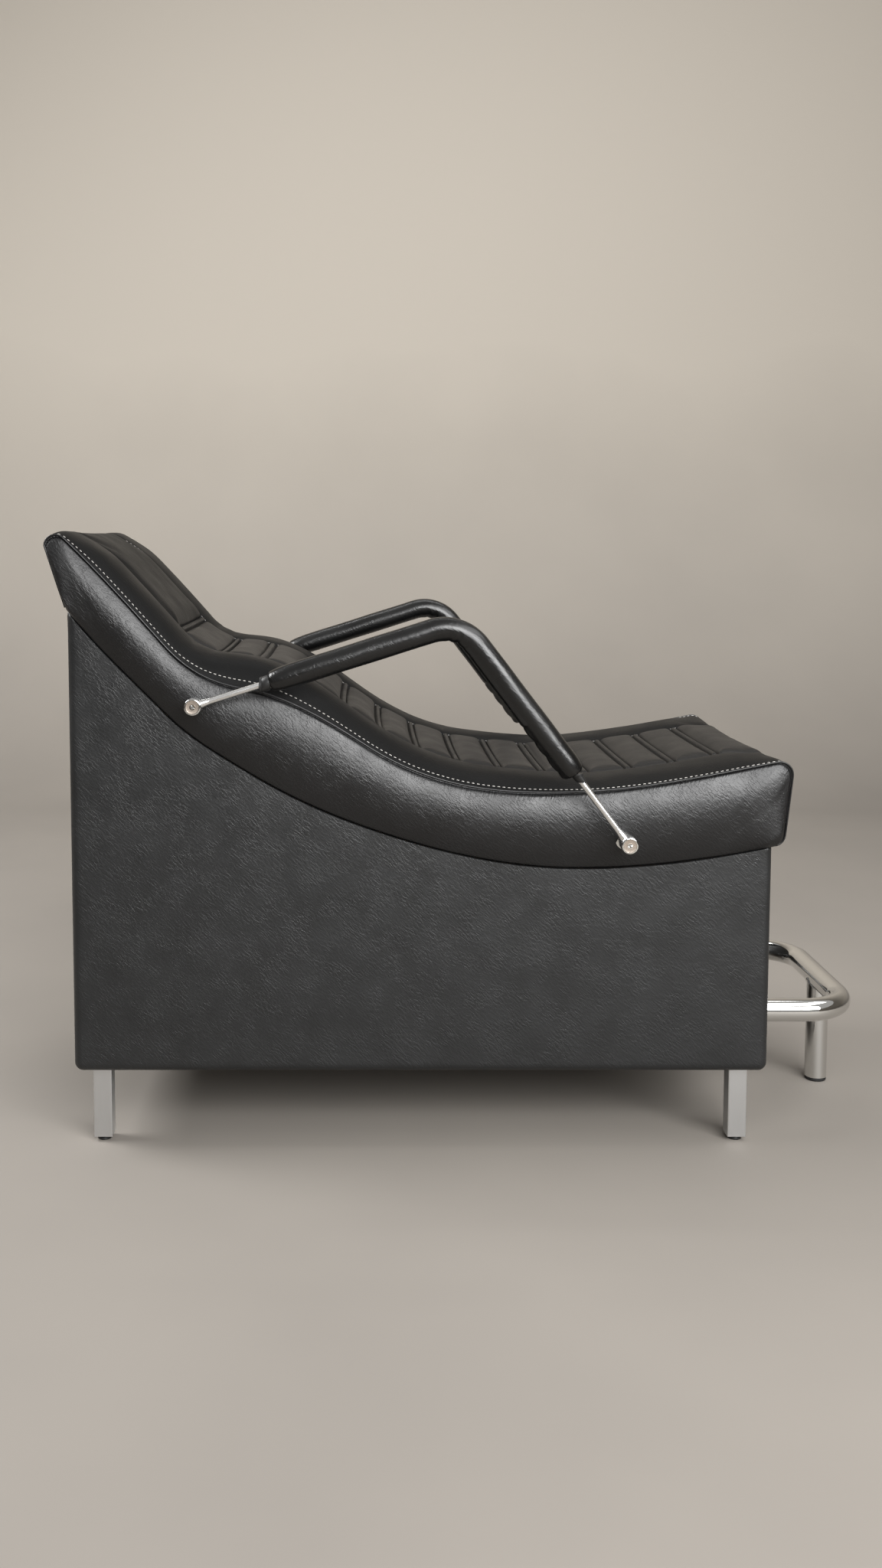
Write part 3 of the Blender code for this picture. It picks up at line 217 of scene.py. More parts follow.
def vinyl(name, code, roughness, grain, relief, gloss=0.5, puckers=False):
    """Calendered PVC on knit backing, its hide grain embossed by a roller.

    It gives the eye a soft sheen broken by short slanting creases, and fine gathers where it is
    drawn into a seam. Grain is a crease's width, relief how strongly it shows, and gloss is low
    where the face is matt-lacquered.
    """
    material, shader, place = start_material(name, code, roughness, IOR=1.5, Specular_IOR_Level=gloss)
    turned = add_node(material, "Mapping", {"Vector": place, "Rotation": (0, math.radians(-44), 0)})
    stretched = add_node(material, "Mapping", {
        "Vector": turned, "Scale": (1 / (3.2 * grain), 1 / grain, 1 / grain)})
    strokes = add_node(material, "TexNoise", {
        "Vector": stretched, "Scale": 0.55, "Detail": 2.0, "Roughness": 0.55, "Distortion": 0.5})
    creases = add_node(material, "MapRange", {
        "Value": strokes, "From Min": 0.36, "From Max": 0.62}, interpolation_type="SMOOTHSTEP")
    patches = add_node(material, "TexNoise", {"Vector": place, "Scale": 1 / (22 * MM), "Detail": 1.0})
    share = add_node(material, "MapRange", {
        "Value": patches, "From Min": 0.35, "From Max": 0.65, "To Min": 0.35, "To Max": 1.0})
    pebbles = add_node(material, "TexNoise", {"Vector": place, "Scale": 1 / (1.7 * MM), "Detail": 1.0})
    fine = add_node(material, "Math", {0: pebbles, 1: 0.4}, operation="MULTIPLY")
    height = add_node(material, "Math", {
        0: creases, 1: share, 2: fine}, operation="MULTIPLY_ADD")
    bump = add_node(material, "Bump", {
        "Height": height, "Strength": relief, "Distance": 0.6 * MM})
    if puckers:
        bump = pucker_bump(material, bump)
    clouds = add_node(material, "TexNoise", {"Vector": place, "Scale": 1 / (60 * MM), "Detail": 2.0})
    worn = add_node(material, "MapRange", {
        "Value": clouds, "From Min": 0.3, "From Max": 0.7,
        "To Min": roughness - 0.05, "To Max": roughness + 0.05})
    paler = [c * 1.35 for c in linear(code)[:3]] + [1]
    tint = add_node(material, "MixRGB", {"Fac": clouds, "Color1": linear(code), "Color2": paler})
    return wire(material, shader, Normal=bump, Roughness=worn, Base_Color=tint)


def pucker_bump(material, bump):
    """Gathers across the seam, deep at it and gone about 25 mm below it."""
    seam = add_node(material, "UVMap", uv_map="seam")
    apart = add_node(material, "SeparateXYZ", {0: seam})
    line = add_node(material, "CombineXYZ", {0: apart, 1: 0.0, 2: 0.0})
    gathers = add_node(material, "TexNoise", {
        "Vector": line, "Scale": 1 / (4.5 * MM), "Detail": 2.0, "Roughness": 0.6})
    fade = add_node(material, "MapRange", {
        "Value": apart.outputs[1], "From Min": 0.0, "From Max": 26 * MM, "To Min": 1.0, "To Max": 0.0})
    depth = add_node(material, "Math", {0: fade, 1: 2.0}, operation="POWER")
    height = add_node(material, "Math", {0: gathers, 1: depth}, operation="MULTIPLY")
    return add_node(material, "Bump", {
        "Height": height, "Normal": bump, "Strength": 0.9, "Distance": 2.0 * MM})


def chrome():
    """Bright nickel-chrome plate on polished steel: it mirrors the room, with faint polishing haze."""
    material, shader, place = start_material("polished_chrome_plate", "dcdcda", 0.06, Metallic=1.0)
    haze = add_node(material, "TexNoise", {"Vector": place, "Scale": 1 / (9 * MM), "Detail": 3.0})
    rough = add_node(material, "MapRange", {"Value": haze, "To Min": 0.035, "To Max": 0.09})
    return wire(material, shader, Roughness=rough)


def brushed_metal(name, code, roughness, streak):
    """Metal brushed in one direction: fine streaks spread the highlight.

    Streak gives their size, wider than the real brushing so that it shows.
    """
    material, shader, place = start_material(name, code, roughness, Metallic=1.0, Anisotropic=0.3)
    stretched = add_node(material, "Mapping", {"Vector": place, "Scale": tuple(1 / s for s in streak)})
    streaks = add_node(material, "TexNoise", {"Vector": stretched, "Scale": 1.0, "Detail": 2.0})
    rough = add_node(material, "MapRange", {
        "Value": streaks, "To Min": roughness - 0.08, "To Max": roughness + 0.1})
    bump = add_node(material, "Bump", {
        "Height": streaks, "Strength": 0.25, "Distance": 0.05 * MM})
    return wire(material, shader, Roughness=rough, Normal=bump)


def moulded(name, code, roughness, grit):
    """Moulded black plastic or rubber: an even satin from the mould's spark texture.

    Grit is that texture's size, coarser than the real one so that it shows.
    """
    material, shader, place = start_material(name, code, roughness, IOR=1.5)
    spark = add_node(material, "TexNoise", {"Vector": place, "Scale": 1 / grit, "Detail": 2.0})
    bump = add_node(material, "Bump", {"Height": spark, "Strength": 0.3, "Distance": 0.1 * MM})
    rough = add_node(material, "MapRange", {
        "Value": spark, "To Min": roughness - 0.08, "To Max": roughness + 0.08})
    return wire(material, shader, Normal=bump, Roughness=rough)


def thread(name, code):
    """Bonded polyester thread: matt, with its ply twist along each stitch, drawn wide enough to show."""
    material, shader, place = start_material(name, code, 0.55, IOR=1.5)
    twist = add_node(material, "TexWave", {"Vector": place, "Scale": 1 / (0.9 * MM), "Distortion": 1.0},
                     bands_direction="DIAGONAL")
    bump = add_node(material, "Bump", {"Height": twist.outputs["Fac"], "Strength": 0.4, "Distance": 0.1 * MM})
    return wire(material, shader, Normal=bump)


def plywood():
    """Birch plywood, sawn and sanded: pale faces streaked along the grain."""
    material, shader, place = start_material("sanded_birch_plywood", "b8946a", 0.6, IOR=1.5)
    long = add_node(material, "Mapping", {"Vector": place, "Scale": (1 / 0.12, 1 / (4 * MM), 1 / (4 * MM))})
    grain = add_node(material, "TexNoise", {"Vector": long, "Scale": 1.0, "Detail": 4.0})
    tint = add_node(material, "MixRGB", {
        "Fac": grain, "Color1": linear("a57f55"), "Color2": linear("caa87c")})
    return wire(material, shader, Base_Color=tint)


def dust_cloth():
    """Spun-bonded black cloth: matt, with a fine crossed fibre pattern drawn coarse enough to show."""
    material, shader, place = start_material("spunbond_dust_cloth", "1b1b1c", 0.95)
    fibres = add_node(material, "TexVoronoi", {"Vector": place, "Scale": 1 / (2.5 * MM)}, feature="F2")
    bump = add_node(material, "Bump", {"Height": fibres, "Strength": 0.4, "Distance": 0.2 * MM})
    return wire(material, shader, Normal=bump)


def studio_paint():
    """Matt warm grey paint, a shade deeper on the floor than on the backdrop, faintly clouded."""
    material, shader, place = start_material("matt_studio_paint", "8e887f", 0.75)
    height = add_node(material, "SeparateXYZ", {0: place}).outputs[2]
    clouds = add_node(material, "TexNoise", {"Vector": place, "Scale": 1.3, "Detail": 4.0})
    level = add_node(material, "Math", {0: height, 1: 1.6, 2: clouds}, operation="MULTIPLY_ADD")
    rise = add_node(material, "MapRange", {"Value": level, "From Min": 0.2, "From Max": 3.4})
    tint = add_node(material, "MixRGB", {
        "Fac": rise, "Color1": linear("75706a"), "Color2": linear("a29b91")})
    return wire(material, shader, Base_Color=tint)


TOP_VINYL = vinyl("matt_lacquered_black_vinyl", "101010", 0.46, 1.6 * MM, 0.3, gloss=0.08)
# The centre panel's vinyl is a paler copy of the top's: its lighter colour is painted sheen on the pads.
PANEL_VINYL_WITH_PAINTED_SHEEN = vinyl("matt_lacquered_black_vinyl_panel_painted_sheen", "1c1b1a", 0.44, 1.6 * MM, 0.3, gloss=0.14)
SIDE_VINYL = vinyl("embossed_black_vinyl_side", "060607", 0.41, 1.6 * MM, 0.45, puckers=True)
WELT_VINYL = vinyl("smooth_black_vinyl_welt", "080809", 0.38, 1.5 * MM, 0.1)
BASE_VINYL = vinyl("embossed_charcoal_vinyl", "101112", 0.44, 1.5 * MM, 0.4)
ARM_VINYL = vinyl("embossed_black_vinyl_sleeve", "060606", 0.28, 1.8 * MM, 0.25)
CHROME = chrome()
ROD_STEEL = brushed_metal("satin_chromed_steel_rod", "e2e2e1", 0.24, (30 * MM, 0.8 * MM, 30 * MM))
# The boss face's warm beige tint is a painted reflection of the warm room; its grey is the steel's own.
BOSS_STEEL_WITH_PAINTED_REFLECTION = brushed_metal("brushed_steel_boss_painted_warm_reflection", "c2b7ac", 0.34, (8 * MM, 8 * MM, 0.5 * MM))
ALUMINIUM = brushed_metal("satin_anodised_aluminium", "cdcecf", 0.36, (0.6 * MM, 0.6 * MM, 60 * MM))
ZINC = brushed_metal("bright_zinc_plated_steel", "a9abad", 0.4, (3 * MM, 3 * MM, 3 * MM))
PLASTIC = moulded("moulded_black_polypropylene", "141414", 0.45, 0.8 * MM)
RUBBER = moulded("moulded_black_rubber", "101010", 0.7, 1.2 * MM)
WHITE_THREAD = thread("bonded_white_thread", "aeaba6")
GREY_THREAD = thread("bonded_grey_thread", "8b8884")
PLYWOOD = plywood()
DUST_CLOTH = dust_cloth()
STUDIO = studio_paint()
FINISHES = {
    "black_vinyl": TOP_VINYL,
    "charcoal_vinyl": BASE_VINYL,
    "chrome": CHROME,
    "satin_aluminium": ALUMINIUM,
    "plywood": PLYWOOD,
    "black_plastic": PLASTIC,
    "black_rubber": RUBBER,
    "zinc_steel": ZINC,
    "dust_cloth": DUST_CLOTH,
}


# Mesh helpers

class Shell:
    """Points and faces of one piece, gathered grid by grid and welded where they meet."""

    def __init__(self):
        self.points = []
        self.marks = []
        self.faces = []
        self.parts = []
        self.number = None

    def add_points(self, points, marks=None):
        """Add points, with a mark of two numbers each for the uv map, and return their numbers."""
        start = len(self.points)
        flat = np.asarray(points, float).reshape(-1, 3)
        self.points.extend(flat.tolist())
        marks = np.zeros((len(flat), 2)) if marks is None else np.asarray(marks)
        self.marks.extend(marks.reshape(-1, 2).tolist())
        return np.arange(start, start + len(flat))

    def add_grid(self, grid, marks=None, part=0, around=False):
        """Quads over rows of points; around joins each row's end to its start."""
        grid = np.asarray(grid, float)
        numbers = self.add_points(grid, marks).reshape(grid.shape[:2])
        self.join(numbers, part, around)
        return numbers

    def join(self, numbers, part=0, around=False):
        """Quads between rows of point numbers."""
        if around:
            numbers = np.hstack([numbers, numbers[:, :1]])
        low, high = numbers[:-1], numbers[1:]
        quads = np.stack([low[:, :-1], high[:, :-1], high[:, 1:], low[:, 1:]], axis=-1).reshape(-1, 4)
        self.faces.extend(quads.tolist())
        self.parts.extend(np.broadcast_to(part, (len(low), low.shape[1] - 1)).reshape(-1).tolist())

    def add_face(self, numbers, part=0):
        """One face with these points."""
        self.faces.append(list(numbers))
        self.parts.append(part)

    def make(self, name, *materials, crease=50):
        """The piece as an object: points at one place become one, and normals face outwards."""
        keys = np.round(np.array(self.points) / 1e-6).astype(np.int64)
        _, first, number = np.unique(keys, axis=0, return_index=True, return_inverse=True)
        number = number.reshape(-1)
        faces, corners, parts = [], [], []
        for face, part in zip(self.faces, self.parts):
            ring = [(int(number[i]), i) for k, i in enumerate(face) if number[i] != number[face[k - 1]]]
            if len({n for n, _ in ring}) > 2:
                faces.append([n for n, _ in ring])
                corners.extend(i for _, i in ring)
                parts.append(part)
        mesh = bpy.data.meshes.new(name)
        mesh.from_pydata(np.array(self.points)[first].tolist(), [], faces)
        uv = mesh.uv_layers.new(name="seam")
        uv.data.foreach_set("uv", np.array(self.marks)[corners].reshape(-1))
        for material in materials:
            mesh.materials.append(material)
        mesh.polygons.foreach_set("material_index", parts)
        sheet = bmesh.new()
        sheet.from_mesh(mesh)
        bmesh.ops.recalc_face_normals(sheet, faces=sheet.faces)
        sheet.to_mesh(mesh)
        sheet.free()
        mesh.shade_smooth()
        mesh.set_sharp_from_angle(angle=math.radians(crease))
        obj = bpy.data.objects.new(name, mesh)
        bpy.context.scene.collection.objects.link(obj)
        self.number = number
        return obj


def place_piece(obj, slot, *nodes, body="chair"):
    """Let a piece ride its body and stand for CAD nodes; the slot it is given is not used."""
    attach(obj, body)
    if nodes:
        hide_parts(*nodes)


def unit(vectors):
    """Vectors of length one in the same directions."""
    return vectors / np.linalg.norm(vectors, axis=-1, keepdims=True)


def turn_clockwise(vector, angle):
    """A direction of the side view, turned from up towards the foot end."""
    cosine, sine = math.cos(angle), math.sin(angle)
    return np.array((vector[0] * cosine + vector[1] * sine, vector[1] * cosine - vector[0] * sine))


def rings_round(path, across, radii, sides):
    """Rings of points round a path, from a direction across it; a radius may vary along and round it."""
    path = np.asarray(path, float)
    tangent = unit(np.gradient(path, axis=0))
    across = unit(across - tangent * np.sum(tangent * across, axis=1, keepdims=True))
    side = np.cross(tangent, across)
    angle = (np.arange(sides) * 2 * math.pi / sides)[None, :, None]
    radii = np.asarray(radii, float)
    radii = radii if radii.ndim == 2 else radii.reshape(-1, 1)
    spokes = np.cos(angle) * across[:, None, :] + np.sin(angle) * side[:, None, :]
    return path[:, None, :] + radii[:, :, None] * spokes


def add_bar(shell, path, across, radii, sides, part=0):
    """A round bar with flat ends along a path."""
    numbers = shell.add_grid(rings_round(path, across, radii, sides), part=part, around=True)
    shell.add_face(numbers[0], part)
    shell.add_face(numbers[-1], part)


def add_turned(shell, centre, axis, profile, sides=48, parts=None):
    """A turned form from (radius, height) points along an axis; parts gives each band's material."""
    axis = np.array(axis, float)
    first = np.array((0, 0, 1.0)) if abs(axis[2]) < 0.5 else np.array((1.0, 0, 0))
    second = np.cross(axis, first)
    angle = np.arange(sides) * 2 * math.pi / sides
    spokes = np.cos(angle)[:, None] * first + np.sin(angle)[:, None] * second
    rings = [np.array(centre) + axis * h + spokes * max(r, 1e-7) for r, h in profile]
    for k, (low, high) in enumerate(zip(rings, rings[1:])):
        shell.add_grid(np.stack([low, high]), part=parts[k] if parts else 0, around=True)


def turned_piece(name, slot, node, finishes, centre, axis, profile, crease=40, body="chair", **how):
    """A piece turned from one profile, which stands for a node of the frame."""
    shell = Shell()
    add_turned(shell, centre, axis, profile, **how)
    place_piece(shell.make(name, *finishes, crease=crease), slot, node, body=body)


def rounded_profile(corners, radius, points=5):
    """Profile corners with each inner one rounded off."""
    corners = [np.array(c, float) for c in corners]
    profile = [corners[0]]
    for before, corner, after in zip(corners, corners[1:], corners[2:]):
        reach = min(radius, np.linalg.norm(corner - before) / 2, np.linalg.norm(after - corner) / 2)
        start = corner + (before - corner) / np.linalg.norm(before - corner) * reach
        end = corner + (after - corner) / np.linalg.norm(after - corner) * reach
        for t in np.linspace(0, 1, points):
            profile.append((1 - t) ** 2 * start + 2 * t * (1 - t) * corner + t * t * end)
    return [tuple(p) for p in profile + [corners[-1]]]


# Cushion

def line_normals(points):
    """Normals of a line, upwards where it runs towards the foot end."""
    tangent = unit(np.gradient(points, axis=0))
    return np.column_stack([-tangent[:, 1], tangent[:, 0]])


def base_line(count=400):
    """A line just over the base's top edge, from the head end to the foot end, and its normals."""
    x = np.linspace(HEAD_X, FOOT_X, count)
    points = np.column_stack([x, height_on(BASE_CURVE, x)])
    normals = line_normals(points)
    return points + normals * REST_GAP, normals


def touching_normal(corner, centre, radius):
    """Normal of the straight face from a corner of the base to where it touches an end rounding."""
    reach = centre - corner
    along = turn_clockwise(unit(reach), math.asin(radius / np.linalg.norm(reach)))
    return np.array((-along[1], along[0]))


def end_arc(centre, radius, start, end):
    """Points and normals of an end rounding, clockwise from one normal to another."""
    low, high = math.atan2(start[1], start[0]), math.atan2(end[1], end[0])
    if high > low:
        low += 2 * math.pi
    angle = np.linspace(low, high, 40)
    normals = np.column_stack([np.cos(angle), np.sin(angle)])
    return centre + normals * radius, normals


def straight_face(start, end, normal, count=60):
    """Points and normals of a straight face."""
    return start + (end - start) * np.linspace(0, 1, count)[:, None], np.tile(normal, (count, 1))


class CushionLine:
    """The cushion's seam in the side view: up the head face, over the top and down the foot face."""

    def __init__(self):
        x = np.linspace(HEAD_X - NOSE_START, FOOT_X + TOE_START, 1200)
        top = np.column_stack([x, height_on(SEAM_CURVE, x)])
        normals = line_normals(top)
        low, high = base_line()[0][[0, -1]]
        nose = top[0] - normals[0] * NOSE_RADIUS
        toe = top[-1] - normals[-1] * TOE_RADIUS
        head_normal = touching_normal(low, nose, NOSE_RADIUS)
        hem = high + np.array((0.0, HEM_RISE))
        down = unit(hem - toe)
        lean = math.acos((TOE_RADIUS - HEM_RADIUS) / np.linalg.norm(hem - toe))
        foot_normal = down * math.cos(lean) + np.array((-down[1], down[0])) * math.sin(lean)
        head_top = nose + head_normal * NOSE_RADIUS
        foot_top = toe + foot_normal * TOE_RADIUS
        foot_low = hem + foot_normal * HEM_RADIUS
        under = np.array((0.0, -1.0))
        stretches = [
            straight_face(low, head_top, head_normal),
            end_arc(nose, NOSE_RADIUS, head_normal, normals[0]),
            (top, normals),
            end_arc(toe, TOE_RADIUS, normals[-1], foot_normal),
            straight_face(foot_top, foot_low, foot_normal),
            end_arc(hem, HEM_RADIUS, foot_normal, under),
            straight_face(hem + under * HEM_RADIUS, high, under),
        ]
        self.points = np.vstack([points for points, _ in stretches])
        self.normals = np.vstack([normal for _, normal in stretches])
        self.distance = distances(self.points)
        ends = np.cumsum([len(points) for points, _ in stretches]) - 1
        self.nose, self.top, self.toe, self.foot, self.hem, _, self.end = self.distance[ends]

    def at(self, s):
        """Points and normals at distances along the line."""
        normals = values_at(s, self.distance, self.normals)
        return values_at(s, self.distance, self.points), unit(normals)

    def channels(self):
        """Middles of the sewn channels; the first one ends the plain neck panel."""
        places = self.toe - LAST_CHANNEL - CHANNEL_PITCH * np.arange(CHANNEL_COUNT)[::-1]
        places[0] -= NECK_GAP
        return places


SEAM = CushionLine()


def crown_along(s):
    """Height of the bolsters' crest over the seam."""
    x = SEAM.at(s)[0][..., 0]
    places, crowns = (np.array(column) for column in zip(*CROWNS))
    k = np.clip(np.searchsorted(places, x) - 1, 0, len(places) - 2)
    t = smooth((x - places[k]) / (places[k + 1] - places[k]))
    crown = crowns[k] + (crowns[k + 1] - crowns[k]) * t
    on_top = smooth((s - SEAM.nose) / (110 * MM)) * smooth((SEAM.foot - s) / (100 * MM))
    face_share = np.minimum(s / SEAM.nose, (SEAM.end - s) / (SEAM.end - SEAM.foot))
    on_faces = FACE_CROWN * np.sin(math.pi / 2 * np.clip(face_share, 0, 1))
    return crown * on_top + on_faces * (1 - on_top)


def crown_across(y):
    """Share of the crown at a distance from the middle: full on the bolsters, less on the panel."""
    y = np.abs(y)
    outside = 1 - np.clip((y - CREST_Y) / (SEAM_Y - CREST_Y), 0, 1) ** 4
    inside = 0.85 + 0.15 * np.clip(y / CREST_Y, 0, 1) ** 1.75
    return np.minimum(outside, inside)


def pillow(gap):
    """1 at a stitch line, falling to 0 over a pad's shoulder."""
    return (1 - np.clip(gap / PAD_SHOULDER, 0, 1)) ** 2.4


def pad_lift(s, y):
    """Pads between the channels, the channels' strips and stitch lines, and the panel's two seams."""
    channels = SEAM.channels()
    away = np.min(np.abs(s[..., None] - channels), axis=-1)
    in_panel = PANEL_SEAM_Y - np.abs(y)
    ends = smooth((SEAM.foot - s) / PANEL_FADE) * smooth((s - SEAM.nose) / PANEL_FADE)
    strength = (0.3 + 0.7 * smooth((s - channels[0] + 60 * MM) / (50 * MM))) * ends
    seam_strength = np.maximum(strength, 0.5) * smooth(np.minimum(s, SEAM.end - s) / (40 * MM))
    strip = 1 - 0.55 * smooth((CHANNEL_HALF - away) / (4 * MM))
    low = np.maximum(pillow(np.maximum(away - CHANNEL_HALF, 0)) * strip, pillow(in_panel))
    pads = (PAD_RISE * (1 - low) - PAD_DROP * low) * strength
    line = np.exp(-((away - CHANNEL_HALF) / (1.5 * MM)) ** 2) * np.clip(in_panel / (6 * MM), 0, 1)
    groove = np.exp(-(in_panel / (2.4 * MM)) ** 2)
    panel = pads - LINE_DEPTH * np.maximum(line * strength, groove * seam_strength)
    bolster = -(PAD_DROP * np.exp(-(in_panel / (9 * MM)) ** 2) + LINE_DEPTH * groove) * seam_strength
    return np.where(in_panel > 0, panel, bolster)


def edge_y(s):
    """Half width at the seam, drawn in where the faces meet the base."""
    return SEAM_Y - SIDE_TUCK * (1 - smooth(np.minimum(s, SEAM.end - s) / (45 * MM)))


def top_points(s, share):
    """Points of the cover's wrap at distances along the seam and shares of the half width."""
    s, share = np.broadcast_arrays(s, share)
    points, normals = SEAM.at(s)
    y = share * SEAM_Y
    lift = crown_along(s) * crown_across(y) + pad_lift(s, y)
    toe = smooth((s - SEAM.toe + 50 * MM) / (50 * MM)) * smooth((SEAM.foot + 10 * MM - s) / (30 * MM))
    lift = lift - TOE_DROP * toe * (1 - np.abs(share) ** 5)
    lift = lift * smooth((1 - np.abs(share)) / 0.02)
    spots = points + normals * lift[..., None]
    return np.stack([spots[..., 0], share * edge_y(s), spots[..., 1]], axis=-1)


def cushion_rows():
    """Distances along the seam: close together at stitch lines and end roundings."""
    channels = SEAM.channels()
    near = np.array((-22, -16, -12, -9.2, -7.5, -6, -4.5, -2.8, 0, 2.8, 4.5, 6, 7.5, 9.2, 12, 16, 22)) * MM
    between = np.array((28.5, 35.25, 42)) * MM
    rows = [steps(0, SEAM.nose, 8 * MM), steps(SEAM.nose, SEAM.top, 4.5 * MM),
            steps(SEAM.top, channels[0] - 30 * MM, 8 * MM)]
    rows += [channel + near for channel in channels]
    rows += [channel + between for channel in channels[:-1]]
    rows += [steps(channels[-1] + 28 * MM, SEAM.toe, 7 * MM), steps(SEAM.toe, SEAM.foot, 4.5 * MM),
             steps(SEAM.foot, SEAM.hem, 8 * MM), steps(SEAM.hem, SEAM.end, 4 * MM)]
    return np.unique(np.round(np.concatenate(rows), 6))


def cushion_columns():
    """Shares of the half width: close together at the side seam and the panel seam."""
    from_edge = np.array((0, 1.5, 4, 7, 11, 16, 22, 30, 40, 52, 65, 80, 95, 108, 118))
    round_seam = SEAM_Y / MM - PANEL_SEAM_Y / MM + np.array((-9, -6, -3.5, -1.5, 0, 1.5, 3.5, 6, 9.5, 14, 20))
    to_middle = np.array((165, 177, 192, 210, 230, 252, 275))
    half = 1 - np.concatenate([from_edge, round_seam, to_middle]) / (SEAM_Y / MM)
    return np.concatenate([-half, [0], half[::-1]])


# Rows of a side panel: depths below the seam, then shares of the rest
NEAR_SEAM = np.array((0, 1.2, 2.4, 3.8, 5.6, 8.5, 13)) * MM
BELOW_SEAM = np.array((0.07, 0.15, 0.24, 0.34, 0.45, 0.56, 0.67, 0.77, 0.86, 0.94, 1))


def under_cushion(rows):
    """Points of the base's top edge under the cushion's rows, and its normals there."""
    base, normals = base_line()
    along = distances(base)
    at = rows / SEAM.end * along[-1]
    return values_at(at, along, base), unit(values_at(at, along, normals))


def side_panel(rows, side):
    """Points of a side panel, from the seam down to the base, and their seam marks."""
    seam = SEAM.at(rows)[0]
    foot, _ = under_cushion(rows)
    room = np.linalg.norm(foot - seam, axis=1)[:, None]
    near = NEAR_SEAM * np.clip(room / (50 * MM), 0, 1)
    depth = np.hstack([near, near[:, -1:] + (room - near[:, -1:]) * BELOW_SEAM])
    share = depth / np.maximum(room, 1e-9)
    line = seam[:, None, :] + (foot - seam)[:, None, :] * share[..., None]
    over = np.clip(1 - share / SIDE_CREST, 0, 1)
    under = np.clip((share - SIDE_CREST) / (1 - SIDE_CREST), 0, 1)
    out = 1 - over ** SIDE_OVER - (1 + SIDE_TUCK / SIDE_BULGE) * under ** SIDE_UNDER
    wide = np.clip(room / (60 * MM), 0, 1)
    bulge = SIDE_BULGE * np.where(out > 0, out * wide, out)
    groove = SEAM_GROOVE * np.exp(-((depth - 2.4 * MM) / (1.7 * MM)) ** 2) * wide * (depth > 0)
    start = edge_y(rows)[:, None] + (SEAM_Y - edge_y(rows)[:, None]) * share
    y = side * (start + bulge - groove)
    y[[0, -1]] = side * (SEAM_Y - SIDE_TUCK)
    points = np.stack([line[..., 0], y, line[..., 1]], axis=-1)
    marks = np.stack([np.broadcast_to(rows[:, None], depth.shape), depth], axis=-1)
    return points, marks


def cushion_cover():
    """The sewn cover, open below: the wrap, the two side panels and the numbers of its sewn points."""
    shell = Shell()
    rows, columns = cushion_rows(), cushion_columns()
    wrap = top_points(rows[:, None], columns[None, :])
    marks = np.stack(np.broadcast_arrays(rows[:, None], columns[None, :] * SEAM_Y), axis=-1)
    mid_row, mid_column = (rows[1:] + rows[:-1]) / 2, (columns[1:] + columns[:-1]) / 2
    on_panel = (mid_row > SEAM.channels()[0]) & (mid_row < SEAM.foot)
    on_panel = on_panel[:, None] & (np.abs(mid_column) * SEAM_Y < PANEL_SEAM_Y)[None, :]
    wrap_numbers = shell.add_grid(wrap, marks, part=np.where(on_panel, 2, 0))
    away = np.min(np.abs(rows[:, None] - SEAM.channels()), axis=1)
    strip = np.abs(away - CHANNEL_HALF) < 1.6 * MM
    in_panel = np.abs(columns) * SEAM_Y < PANEL_SEAM_Y
    panel_seam = np.abs(np.abs(columns) * SEAM_Y - PANEL_SEAM_Y) < 0.2 * MM
    sewn = strip[:, None] & in_panel[None, :] | panel_seam[None, :] | (np.abs(columns) > 0.985)[None, :]
    sewn[[0, 1, -2, -1]] = True
    sewn_numbers = [wrap_numbers[sewn]]
    bottoms = {}
    for side in SIDES.values():
        points, marks = side_panel(rows, side)
        numbers = shell.add_grid(points, marks, part=1)
        sewn_numbers += [numbers[:, :5].reshape(-1), numbers[:, -2:].reshape(-1), numbers[0], numbers[-1]]
        bottoms[side] = numbers[:, -1]
    return shell, np.concatenate(sewn_numbers), wrap_numbers, bottoms


def blow_up(obj, sewn):
    """Blow the cover up by a cloth simulation with its sewn points held."""
    scene = bpy.context.scene
    group = obj.vertex_groups.new(name="sewn")
    group.add([int(n) for n in np.unique(sewn)], 1.0, "REPLACE")
    cloth = obj.modifiers.new("blow_up", "CLOTH")
    settings = {
        "quality": 4, "mass": 0.3, "tension_stiffness": 12, "compression_stiffness": 12,
        "shear_stiffness": 4, "bending_stiffness": 0.3, "use_pressure": True,
        "uniform_pressure_force": BLOW_PRESSURE, "vertex_group_mass": group.name,
    }
    for key, value in settings.items():
        setattr(cloth.settings, key, value)
    cloth.settings.effector_weights.gravity = 0
    cloth.collision_settings.use_collision = False
    cloth.point_cache.frame_start = 1
    cloth.point_cache.frame_end = BLOW_FRAMES
    for number in range(1, BLOW_FRAMES + 1):
        scene.frame_set(number)
    blown = obj.evaluated_get(bpy.context.evaluated_depsgraph_get()).to_mesh()
    after = np.array([v.co for v in blown.vertices])
    obj.modifiers.remove(cloth)
    obj.vertex_groups.remove(group)
    before = np.array([v.co for v in obj.data.vertices])
    move = after - before
    length = np.linalg.norm(move, axis=1, keepdims=True)
    move = move * (BLOW_MOST * np.tanh(length / BLOW_MOST) / np.maximum(length, 1e-9))
    obj.data.vertices.foreach_set("co", (before + move).reshape(-1))
    obj.data.update()
    scene.frame_set(1)


